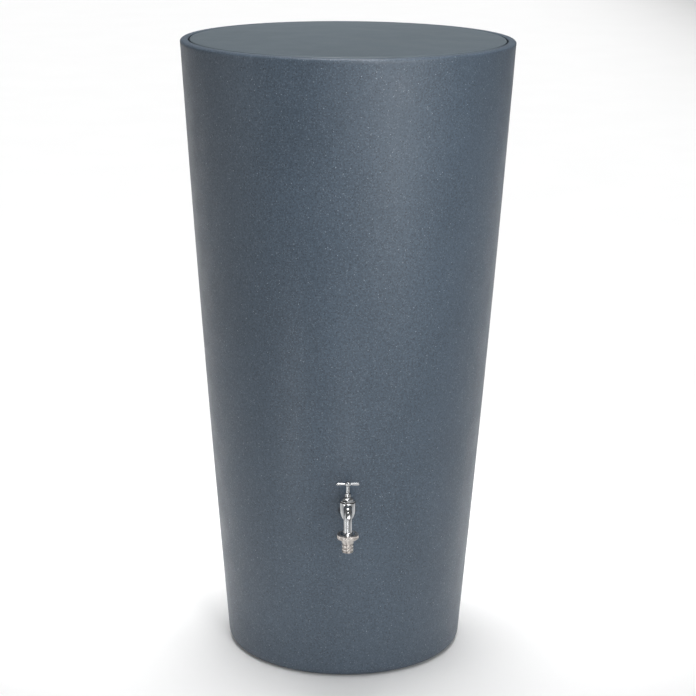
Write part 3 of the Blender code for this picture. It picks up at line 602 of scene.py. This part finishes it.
def build_lid(materials):
    lid = lathe("lid_piece", lid_outline(), 240)
    combine(lid, "UNION", *lid_ribs())
    notch_place = Matrix.Translation((0, LID_HIGH.x + NOTCH_DEPTH * 0.5, 0))
    notch_foot = HEIGHT - SEAT_DEPTH + GAP - 0.001
    notch = prism("lid_notch", oblong(NOTCH_WIDTH, NOTCH_DEPTH * 3), notch_foot, LID_HIGH.z, notch_place)
    bevel(notch, NOTCH_ROUND)
    combine(lid, "DIFFERENCE", notch)
    finish(lid, "lid", materials["lid_plastic"], "lid", 32)


# ---- Tap body, in millimetres -------------------------------------------------------------------------
SPOUT_FROM_VALVE = -(SPOUT.y - VALVE.y) / MM
PAD_FROM_VALVE = (PAD_Y - VALVE.y) / MM
SHANK_END = (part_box("tap_body")[1].y - VALVE.y) / MM
WASHER_ROOM = 2.6               # the outer washer, with a gap on both sides
CHAMBER_RADIUS, CHAMBER_WIDEST, CHAMBER_FOOT = 14.2, 39.5, 14.5
CHAMBER_EDGE = 0.5
NECK_RADIUS = 9
TAP_FLANGE_RADIUS, TAP_FLANGE = 13.5, 3
SPOUT_RADIUS, SPOUT_CREST, SPOUT_BEND = 7.4, 40.5, 16
FLARE_ROUND, FLARE_TOP = 4.2, 4.6
OUTLET_RADIUS, OUTLET_END = 12.4, -3.1
PIPE_PITCH, PIPE_THREAD_DEPTH = 1.814, 1.1      # G 1/2 and G 3/4 have the same pitch
SHANK_RADIUS, COLLAR_RADIUS = 10.48, 13.2       # of those two threads

INLET_BORE = 5.5
LOW_ROOM_RADIUS, LOW_ROOM_WIDEST, LOW_ROOM_FOOT, LOW_ROOM_ROOF = 7.8, 24.5, 18.0, 31
SEAT_BORE, SEAT_FOOT, SEAT_TOP = 4.5, 30, 35
LIP_RADIUS, LIP_TOP = 6, 34
VALVE_ROOM_RADIUS, VALVE_ROOM_FLOOR = 9.8, 33
THREAD_ROOM_RADIUS, THREAD_ROOM_FOOT, THREAD_ROOM_TOP = 10.75, 43.5, 50
SPOUT_BORE, BORE_CREST, BORE_START = 5, 38.5, -6


def spout_path(crest, foot, start):
    """(y, z) along the spout, in metres, from the valve axis: out, a quarter bend, then down."""
    bend = arc((SPOUT_BEND - SPOUT_FROM_VALVE, crest - SPOUT_BEND), SPOUT_BEND, 90, 180, 24)
    return millimetres([(start, crest)] + bend + [(-SPOUT_FROM_VALVE, foot)])


def egg(radius, widest, bottom, fullness=0.6):
    """(r, z) points of a rounded bottom, from the axis out to where it is widest."""
    turns = [radians(-90 + 4.5 * k) for k in range(1, 21)]
    drop = widest - bottom
    return [(0, bottom)] + [(radius * max(0, cos(t)) ** fullness, widest + drop * sin(t)) for t in turns]


def cast_tap(at_inlet, flange_back):
    """Chamber, neck, spout and the flare at its foot, as one casting."""
    top = heights("tap_body", VALVE)[1]
    chamber = egg(CHAMBER_RADIUS, CHAMBER_WIDEST, CHAMBER_FOOT) + [
        (CHAMBER_RADIUS, top - CHAMBER_EDGE), (CHAMBER_RADIUS - 0.4, top), (0, top),
    ]
    casting = lathe("tap_casting", millimetres(chamber), 96, AT_VALVE)
    neck = lathe("tap_neck", millimetres(rod_outline(NECK_RADIUS, 0, flange_back - 1)), 72, at_inlet)
    spout = sweep("tap_spout", spout_path(SPOUT_CREST, 1, 0), SPOUT_RADIUS * MM, 72, AT_VALVE)
    flare = arc((SPOUT_RADIUS + FLARE_ROUND, FLARE_TOP), FLARE_ROUND, 180, 270, 12)
    flare = [(0, FLARE_TOP)] + flare + [(OUTLET_RADIUS, 0.3), (OUTLET_RADIUS, -1), (0, -1)]
    outlet = lathe("tap_flare", millimetres(flare), 96, AT_SPOUT)
    combine(casting, "UNION", neck, spout, outlet)
    return cast(casting, 0.4 * MM, 10)


def pipe_thread(radius, low, high):
    return screw_thread(radius * MM, PIPE_PITCH * MM, PIPE_THREAD_DEPTH * MM, low * MM, high * MM)


def machined_ends(at_inlet, flange_back):
    """The flange and the two threads, which are turned and not cast."""
    rim = soften_axis(rod_outline(TAP_FLANGE_RADIUS, flange_back - TAP_FLANGE, flange_back), 0.5)
    flange = lathe("tap_flange", millimetres(rim), 96, at_inlet)

    crests = run((SHANK_RADIUS, flange_back - 1), (SHANK_RADIUS, SHANK_END), 0.15)
    outline = [(0, flange_back - 1)] + crests + [(SHANK_RADIUS - 0.48, SHANK_END), (0, SHANK_END)]
    thread = pipe_thread(SHANK_RADIUS, flange_back, SHANK_END)
    shank = lathe("tap_shank", millimetres(outline), 72, at_inlet, reshape=thread)

    crests = run((COLLAR_RADIUS, 0.2), (COLLAR_RADIUS, OUTLET_END), 0.13)
    outline = [(0, 0.4), (COLLAR_RADIUS - 0.2, 0.4)] + crests
    outline += [(COLLAR_RADIUS - 0.6, OUTLET_END), (0, OUTLET_END)]
    thread = pipe_thread(COLLAR_RADIUS, OUTLET_END - 0.3, -0.3)
    collar = lathe("tap_collar", millimetres(outline), 96, AT_SPOUT, reshape=thread)
    return flange, shank, collar


def tap_waterways(at_inlet):
    """The water's way, from the shank over the seat to the spout's end, and the hole for the bonnet."""
    low_room = egg(LOW_ROOM_RADIUS, LOW_ROOM_WIDEST, LOW_ROOM_FOOT) + [
        (LOW_ROOM_RADIUS, LOW_ROOM_ROOF), (0, LOW_ROOM_ROOF),
    ]
    top_room = [
        (0, LIP_TOP), (LIP_RADIUS, LIP_TOP), (LIP_RADIUS, VALVE_ROOM_FLOOR),
        (VALVE_ROOM_RADIUS, VALVE_ROOM_FLOOR), (VALVE_ROOM_RADIUS, THREAD_ROOM_FOOT),
        (THREAD_ROOM_RADIUS, THREAD_ROOM_FOOT),
        (THREAD_ROOM_RADIUS, THREAD_ROOM_TOP), (0, THREAD_ROOM_TOP),
    ]
    outlet_path = spout_path(BORE_CREST, OUTLET_END - 1, BORE_START)
    return (
        lathe("bore", millimetres(rod_outline(INLET_BORE, -1, SHANK_END + 1)), 48, at_inlet),
        lathe("low_room", millimetres(low_room), 64, AT_VALVE),
        lathe("seat", millimetres(rod_outline(SEAT_BORE, SEAT_FOOT, SEAT_TOP)), 48, AT_VALVE),
        lathe("top_room", millimetres(top_room), 72, AT_VALVE),
        sweep("outlet_bore", outlet_path, SPOUT_BORE * MM, 48, AT_VALVE),
    )


def build_tap_body(materials):
    at_inlet = Matrix.Translation(VALVE + Vector((0, 0, TAP_AXIS.z - VALVE.z))) @ TO_BACK
    flange_back = PAD_FROM_VALVE - WASHER_ROOM
    body = cast_tap(at_inlet, flange_back)
    combine(body, "UNION", *machined_ends(at_inlet, flange_back), solver="MANIFOLD")
    combine(body, "DIFFERENCE", *tap_waterways(at_inlet), solver="MANIFOLD")
    finish(body, "tap_body", materials["chrome"], "barrel", 50)


# ---- Nuts and washers ---------------------------------------------------------------------------------
def build_washers(materials):
    """Each washer is a ring with soft edges: its size and place are the CAD node's, and its bore is given."""
    washers = (
        ("tap_outer_washer", 10.8, "black_rubber", "barrel", AT_TAP_HOLE),
        ("tap_inner_washer", 10.8, "black_rubber", "barrel", AT_TAP_HOLE),
        ("inlet_outer_washer", 16.8, "black_rubber", "barrel", AT_INLET),
        ("inlet_inner_washer", 16.8, "black_rubber", "barrel", AT_INLET),
        ("bonnet_washer", 10.75, "fibre", "barrel", AT_VALVE),
        ("gland_packing", 3.45, "black_rubber", "barrel", AT_VALVE),
        ("valve_washer", 1.5, "black_rubber", "valve", AT_VALVE),
        ("union_washer", 7.0, "black_rubber", "hose_tail", AT_SPOUT),
    )
    for name, bore, slot, body, place in washers:
        corners = [place.inverted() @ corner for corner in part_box(name)]
        low, high = sorted(corner.z for corner in corners)
        radius = abs(corners[0].x)
        outline = [(bore * MM, low), (radius, low), (radius, high), (bore * MM, high)]
        ring = lathe(name + "_ring", soften_ring(outline, 0.25 * MM), 96, place)
        finish(ring, name, materials[slot], body)


def hex_tool(flats, low, high, place):
    """A hexagonal prism in millimetres that reaches 1 mm past both heights, to cut a turned blank with."""
    outline = millimetres(hexagon(flats))
    return prism("flats", outline, (low - 1) * MM, (high + 1) * MM, place)


def hex_nut(name, flats, bore, place, material, body):
    """A chamfered nut in place of a CAD node: a turned blank, cut to six flats."""
    low, high = sorted((place.inverted() @ corner).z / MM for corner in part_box(name))
    corner = flats / 2 / cos(pi / 6)
    chamfer = 0.45 * (corner - flats / 2) + 0.2
    outline = [
        (bore + 0.4, low), (flats / 2 - 0.2, low), (corner, low + chamfer), (corner, high - chamfer),
        (flats / 2 - 0.2, high), (bore + 0.4, high), (bore, high - 0.4), (bore, low + 0.4),
    ]
    blank = lathe(name + "_piece", millimetres(outline), 120, place)
    combine(blank, "INTERSECT", hex_tool(flats, low, high, place))
    bevel(blank, 0.15 * MM)
    return finish(blank, name, material, body, 28)


# ---- Headwork, in millimetres -------------------------------------------------------------------------
BONNET_FLANGE_FOOT, BONNET_HEX_FOOT, BONNET_FLATS = 50.4, 51.6, 17
BONNET_THREAD_RADIUS, BONNET_FLANGE_RADIUS = 10.45, 13
THREAD_ROOF = 52.6              # of the room for the spindle's thread, which stops just under it when open
PACKING_FLOOR, PACKING_ROOM_RADIUS = 53.6, 4.7
GLAND_SHANK_RADIUS, GLAND_HEAD_FOOT, GLAND_FLATS = 4.4, 56.8, 10
ROD_RADIUS, ROD_BORE = 3.15, 3.45
SPINDLE_THREAD_RADIUS, SPINDLE_THREAD_BORE, SPINDLE_THREAD_TOP = 4.8, 5.1, 47.3
SPINDLE_PITCH, SPINDLE_THREAD_DEPTH = 2.5, 0.9
STEM_BORE, STEM_BORE_TOP = 2.3, 43.8
TANG = 4.2
HUB_RADIUS, HUB_FOOT_RADIUS, HUB_TOP_RADIUS = 5.2, 3.9, 4.3
BAR_HEIGHT, BAR_TIP_RADIUS = 80.3, 2.8
SCREW_RADIUS, SCREW_HEAD, SCREW_SLOT = 1.1, 1.4, 0.8


def build_bonnet(materials):
    low, high = heights("bonnet", VALVE)
    corner, bore = BONNET_FLATS / 2 / cos(pi / 6), SPINDLE_THREAD_BORE
    outline = [
        (bore, low), (BONNET_THREAD_RADIUS, low),
        (BONNET_THREAD_RADIUS, BONNET_FLANGE_FOOT), (BONNET_FLANGE_RADIUS, BONNET_FLANGE_FOOT),
        (BONNET_FLANGE_RADIUS, BONNET_HEX_FOOT - 0.1), (BONNET_FLANGE_RADIUS - 0.3, BONNET_HEX_FOOT),
        (9, BONNET_HEX_FOOT + 0.01), (bore, BONNET_HEX_FOOT),
    ]
    lower = lathe("bonnet_piece", millimetres(soften_ring(outline, 0.25)), 120, AT_VALVE)
    outline = [
        (bore, BONNET_HEX_FOOT - 1), (corner, BONNET_HEX_FOOT - 1), (corner, high - 1),
        (BONNET_FLATS / 2 - 0.1, high), (PACKING_ROOM_RADIUS, high), (PACKING_ROOM_RADIUS, PACKING_FLOOR),
        (ROD_BORE, PACKING_FLOOR), (ROD_BORE, THREAD_ROOF), (bore, THREAD_ROOF),
    ]
    upper = lathe("bonnet_hex", millimetres(outline), 120, AT_VALVE)
    combine(upper, "INTERSECT", hex_tool(BONNET_FLATS, BONNET_HEX_FOOT - 1, high, AT_VALVE))
    bevel(upper, 0.18 * MM)
    combine(lower, "UNION", upper)
    finish(lower, "bonnet", materials["chrome"], "barrel", 28)


def build_gland_nut(materials):
    foot, high = heights("gland_nut", VALVE)
    corner, flat = GLAND_FLATS / 2 / cos(pi / 6), GLAND_FLATS / 2
    outline = [
        (ROD_BORE, foot), (GLAND_SHANK_RADIUS, foot), (GLAND_SHANK_RADIUS, GLAND_HEAD_FOOT + 1),
        (ROD_BORE, GLAND_HEAD_FOOT + 1),
    ]
    shank = lathe("gland_piece", millimetres(outline), 72, AT_VALVE)
    outline = [
        (ROD_BORE, GLAND_HEAD_FOOT), (flat - 0.1, GLAND_HEAD_FOOT), (corner, GLAND_HEAD_FOOT + 0.5),
        (corner, high - 0.7), (flat - 0.2, high), (ROD_BORE + 0.45, high), (ROD_BORE, high - 0.4),
    ]
    head = lathe("gland_hex", millimetres(outline), 120, AT_VALVE)
    combine(head, "INTERSECT", hex_tool(GLAND_FLATS, GLAND_HEAD_FOOT, high, AT_VALVE))
    bevel(head, 0.15 * MM)
    combine(head, "UNION", shank)
    finish(head, "gland_nut", materials["chrome"], "barrel", 28)


def build_spindle(materials):
    foot, top = heights("spindle", VALVE)
    shoulder = heights("tee_handle", VALVE)[0] - 0.3
    crest, chamfer = SPINDLE_THREAD_RADIUS, 0.3
    outline = [(0, foot), (crest - chamfer, foot)]
    outline += run((crest, foot + 0.4), (crest, SPINDLE_THREAD_TOP - chamfer), 0.15)
    outline += [(crest - chamfer, SPINDLE_THREAD_TOP)]
    outline += run((ROD_RADIUS, SPINDLE_THREAD_TOP), (ROD_RADIUS, shoulder - 0.4), 3)
    outline += [(ROD_RADIUS, shoulder - 0.4), (ROD_RADIUS - 0.35, shoulder), (0, shoulder)]
    thread_size = crest * MM, SPINDLE_PITCH * MM, SPINDLE_THREAD_DEPTH * MM
    thread = screw_thread(*thread_size, foot * MM, SPINDLE_THREAD_TOP * MM)
    rod = lathe("spindle_rod", millimetres(outline), 72, AT_VALVE, reshape=thread)
    square = prism("tang", oblong(TANG * MM, TANG * MM), (shoulder - 1) * MM, top * MM, AT_VALVE)
    combine(rod, "UNION", square)
    stem_hole = lathe("stem_hole", millimetres(rod_outline(STEM_BORE, foot - 1, STEM_BORE_TOP)), 32, AT_VALVE)
    combine(rod, "DIFFERENCE", stem_hole)
    finish(rod, "spindle", materials["chrome"], "handle", 30)


def build_tee(materials):
    foot, top = heights("tee_handle", VALVE)
    half_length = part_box("tee_handle")[1].x / MM
    outline = soften_axis([
        (0, foot), (HUB_FOOT_RADIUS, foot), (HUB_RADIUS, foot + 1.2),
        (HUB_RADIUS, top - 1.2), (HUB_TOP_RADIUS, top), (0, top),
    ], 0.8)
    hub = lathe("tee_piece", millimetres(outline), 96, AT_VALVE)
    tip = arc((0, half_length - BAR_TIP_RADIUS), BAR_TIP_RADIUS, 0, 90, 10)[:-1]
    half = [(2.05, 0), (2.1, 5), (2.4, 11)] + tip + [(0, half_length)]     # thin at the hub, thick outwards
    outline = [(r, -z) for r, z in reversed(half)] + half[1:]
    across = AT_VALVE @ Matrix.Translation((0, 0, BAR_HEIGHT * MM)) @ TO_SIDE
    bar = lathe("tee_bar", millimetres(outline), 72, across)
    combine(hub, "UNION", bar)
    cast(hub, 0.2 * MM, 10)
    finish(hub, "tee_handle", materials["chrome"], "handle", 60)


def build_handle_screw(materials):
    foot, top = heights("handle_screw", VALVE)
    head, radius = top - SCREW_HEAD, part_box("handle_screw")[1].x / MM
    dome = [(radius * cos(radians(a)), head + 0.5 + 0.9 * sin(radians(a))) for a in range(0, 90, 10)]
    outline = [(0, foot), (SCREW_RADIUS, foot), (SCREW_RADIUS, head), (radius - 0.1, head)]
    outline += [(radius, head + 0.15)] + dome + [(0, top)]
    screw = lathe("screw_piece", millimetres(outline), 64, AT_VALVE)
    slot_tool = prism("slot", oblong(9 * MM, SCREW_SLOT * MM), (head + 0.7) * MM, (top + 1) * MM, AT_VALVE)
    combine(screw, "DIFFERENCE", slot_tool)
    finish(screw, "handle_screw", materials["chrome"], "handle", 32)


# ---- Hose union, in millimetres -----------------------------------------------------------------------
NUT_BORE, NUT_LIP_BORE, NUT_LIP, NUT_RIM = 13.5, 10.4, 1.3, 1.5
KNURLS, KNURL_DEPTH = 72, 0.32
TAIL_BORE, TAIL_RADIUS, TAIL_VALLEY, TAIL_FLANGE_RADIUS = 7.0, 9.9, 8.0, 12.8
TAIL_GROOVES, FIRST_GROOVE, GROOVE_STEP = 3, -17.5, 6.1


def build_union_nut(materials):
    """A round nut with a finely knurled band between two plain rims."""
    radius, low = NUT_HIGH.x / MM, (NUT_LOW.z - NUT_HIGH.z) / MM
    band_low, band_high = low + NUT_RIM, -NUT_RIM
    side = run((radius, band_low), (radius, band_high), 0.5)
    outline = [(NUT_BORE, 0), (radius - 0.9, 0), (radius - 0.25, -0.25), (radius, -0.9), (radius, band_high)]
    outline += side[::-1] + [(radius, low + 0.9), (radius - 0.3, low + 0.3), (radius - 1.0, low)]
    outline += [(NUT_LIP_BORE + 0.2, low), (NUT_LIP_BORE, low + 0.2), (NUT_LIP_BORE, low + NUT_LIP)]
    outline += [(NUT_BORE, low + NUT_LIP)]

    def knurl(point):
        r = hypot(point.x, point.y)
        if r < (radius - 0.01) * MM or not band_low * MM < point.z < band_high * MM:
            return point
        wave = 0.5 - 0.5 * cos(KNURLS * atan2(point.y, point.x))
        scale = 1 - KNURL_DEPTH * MM * wave / r
        return Vector((point.x * scale, point.y * scale, point.z))

    nut = lathe("union_nut_ring", millimetres(outline), KNURLS * 6, AT_SPOUT, reshape=knurl)
    finish(nut, "union_nut", materials["satin_nickel"], "union_nut", 30)


def build_hose_tail(materials):
    low, high = heights("hose_tail", SPOUT)
    outline = [(TAIL_BORE, high), (TAIL_FLANGE_RADIUS, high)]
    outline += [(TAIL_FLANGE_RADIUS, high - 1), (TAIL_RADIUS, high - 1)]
    for k in range(TAIL_GROOVES):
        groove = FIRST_GROOVE - GROOVE_STEP * k
        outline += [
            (TAIL_RADIUS, groove + 1.3), (TAIL_VALLEY, groove + 0.6),
            (TAIL_VALLEY, groove - 0.6), (TAIL_RADIUS, groove - 1.3),
        ]
    outline += [(TAIL_RADIUS, low + 1.5), (TAIL_VALLEY, low), (TAIL_BORE + 0.4, low), (TAIL_BORE, low + 0.5)]
    tail = lathe("hose_tail_piece", millimetres(soften_ring(outline, 0.5, 5)), 120, AT_SPOUT)
    finish(tail, "hose_tail", materials["satin_nickel"], "hose_tail", 40)


# ---- Inlet, in millimetres ----------------------------------------------------------------------------
INLET_RADIUS, INLET_TUBE_BORE = 16.5, 13.0
INLET_FLANGE, INLET_FLANGE_RADIUS, INLET_FLATS = 4, 24.5, 44
INLET_PITCH, INLET_THREAD_DEPTH = 2.309, 1.3    # of G 1


def build_inlet(materials):
    """A threaded tube through the wall, with a hexagonal flange outside it."""
    foot, mouth = (corner.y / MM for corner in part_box("inlet_connector"))
    flange_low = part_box("inlet_outer_washer")[1].y / MM + 0.3
    flange_high = flange_low + INLET_FLANGE
    crests = run((INLET_RADIUS, foot + 1), (INLET_RADIUS, mouth - 1), 0.2)
    outline = [(INLET_TUBE_BORE, foot), (INLET_RADIUS - 1, foot)] + crests
    outline += [(INLET_RADIUS - 1, mouth), (INLET_TUBE_BORE, mouth)]
    thread_size = INLET_RADIUS * MM, INLET_PITCH * MM, INLET_THREAD_DEPTH * MM
    inner = screw_thread(*thread_size, foot * MM, (flange_low + 1) * MM)
    outer = screw_thread(*thread_size, (flange_high - 1) * MM, (mouth + 1) * MM)
    tube = lathe("inlet_piece", millimetres(outline), 96, AT_INLET, reshape=lambda point: outer(inner(point)))
    outline = soften_ring([
        (INLET_RADIUS - 1.5, flange_low), (INLET_FLANGE_RADIUS, flange_low),
        (INLET_FLANGE_RADIUS, flange_high), (INLET_RADIUS - 1.5, flange_high),
    ], 0.5)
    flange = lathe("inlet_flange", millimetres(outline), 120, AT_INLET)
    combine(flange, "INTERSECT", hex_tool(INLET_FLATS, flange_low, flange_high, AT_INLET))
    bevel(flange, 0.3 * MM)
    combine(tube, "UNION", flange)
    finish(tube, "inlet_connector", materials["black_plastic"], "barrel", 30)


def keep_cad(materials):
    """Pieces that are only seen when the tap is taken apart keep their CAD shape, with a better material."""
    for name, slot in (("valve_jumper", "brass"), ("valve_washer_nut", "brass")):
        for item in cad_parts[name].material_slots:
            item.material = materials[slot]


# ---- Studio -------------------------------------------------------------------------------------------
FLOOR_SIZE, FLOOR_THICKNESS = 60, 0.05
WORLD_STRENGTH = 0.18


def build_floor():
    floor = prism("floor", oblong(FLOOR_SIZE, FLOOR_SIZE), -FLOOR_THICKNESS, -GAP)
    material, tree, shader, place = new_material("pale_floor")
    tone = between(tree, noise(tree, place, 3, 2), 0.3, 0.7, 0.995, 1.005)
    tree.links.new(shaded(tree, (0.90, 0.90, 0.90, 1), tone), shader.inputs["Base Color"])
    shader.inputs["Roughness"].default_value = 0.9
    floor.data.materials.append(material)


def softbox(name, place, aim, size, radiance, spread):
    """A rectangular lamp. radiance is how bright its face would look at a spread of 180 degrees. A narrower
    spread, like a softbox with a grid, puts the same light into a smaller cone."""
    data = bpy.data.lights.new(name, "AREA")
    data.shape, data.size, data.size_y = "RECTANGLE", size[0], size[1]
    data.energy = radiance * pi * size[0] * size[1]
    data.spread = radians(spread)
    lamp = bpy.data.objects.new(name, data)
    lamp.location = place
    lamp.rotation_euler = (Vector(aim) - Vector(place)).to_track_quat("-Z", "Y").to_euler()
    bpy.context.scene.collection.objects.link(lamp)


def around(azimuth, distance, height):
    """A place round the barrel, azimuth degrees from the front, towards +X."""
    return Vector((distance * sin(radians(azimuth)), -distance * cos(radians(azimuth)), height))


def build_lights():
    world = bpy.data.worlds.new("studio")
    bpy.context.scene.world = world
    world.use_nodes = True
    background = world.node_tree.nodes["Background"]
    background.inputs["Color"].default_value = (1, 1, 1, 1)
    background.inputs["Strength"].default_value = WORLD_STRENGTH
    softbox("backdrop", (-0.65, 8.2, 2.4), (-0.65, 8.2, 0), (7.7, 16), 0.95, 80)
    softbox("overhead", (0, 0.1, 3.0), (0, 0.1, 0), (1.9, 1.6), 0.80, 34)
    softbox("rim_light", around(14, 2.4, 3.3), (0, -TOP_RADIUS, HEIGHT), (0.5, 0.5), 1.5, 30)
    softbox("key", around(31, 1.9, 1.10), around(31, 0, 1.0), (0.8, 1.6), 0.62, 60)
    softbox("key_wide", around(52, 2.2, 1.1), around(52, 0, 1.0), (1.0, 1.6), 0.18, 60)
    softbox("front", around(6, 4.6, 1.35), around(6, 0, 1.0), (3.0, 1.6), 0.50, 60)
    softbox("fill", around(-75, 2.6, 1.0), around(-75, 0, 1.0), (1.4, 1.6), 0.13, 60)
    softbox("tap_centre", (0.0, -1.0, 0.13), (0, SPOUT.y, 0.33), (0.05, 0.24), 5.0, 120)
    softbox("tap_left", (-0.57, -0.72, 0.20), (0, SPOUT.y, 0.33), (0.08, 0.40), 2.5, 120)


def build_camera():
    """Stands in front, a little above the rim, and looks down at the barrel."""
    lens, sensor_width = 102.76, 36         # millimetres
    distance, height = 3.450, 1.489
    azimuth, yaw, pitch, roll = radians(-1.12), radians(0.065), radians(15.29), radians(0.46)
    forward = Vector((sin(yaw) * cos(pitch), cos(yaw) * cos(pitch), -sin(pitch)))
    right = Vector((cos(yaw), -sin(yaw), 0))
    up = right.cross(forward)
    level = Matrix((right, up, -forward)).transposed()
    turned = Matrix.Rotation(azimuth, 3, "Z") @ level @ Matrix.Rotation(roll, 3, "Z")
    data = bpy.data.cameras.new("camera")
    data.lens, data.sensor_width = lens, sensor_width
    data.clip_end = 200
    camera = bpy.data.objects.new("camera", data)
    place = Matrix.Rotation(azimuth, 4, "Z") @ Vector((0, -distance, height))
    camera.matrix_world = Matrix.Translation(place) @ turned.to_4x4()
    bpy.context.scene.collection.objects.link(camera)
    bpy.context.scene.camera = camera


def main():
    bpy.context.scene.view_settings.view_transform = "Standard"
    build_camera()
    build_floor()
    build_lights()
    materials = make_materials()
    build_tank(materials)
    build_lid(materials)
    build_tap_body(materials)
    build_washers(materials)
    hex_nut("tap_back_nut", 30, 10.8, AT_TAP_HOLE, materials["brass"], "barrel")
    hex_nut("inlet_back_nut", 46, 16.8, AT_INLET, materials["black_plastic"], "barrel")
    build_bonnet(materials)
    build_gland_nut(materials)
    build_spindle(materials)
    build_tee(materials)
    build_handle_screw(materials)
    build_union_nut(materials)
    build_hose_tail(materials)
    build_inlet(materials)
    keep_cad(materials)


main()
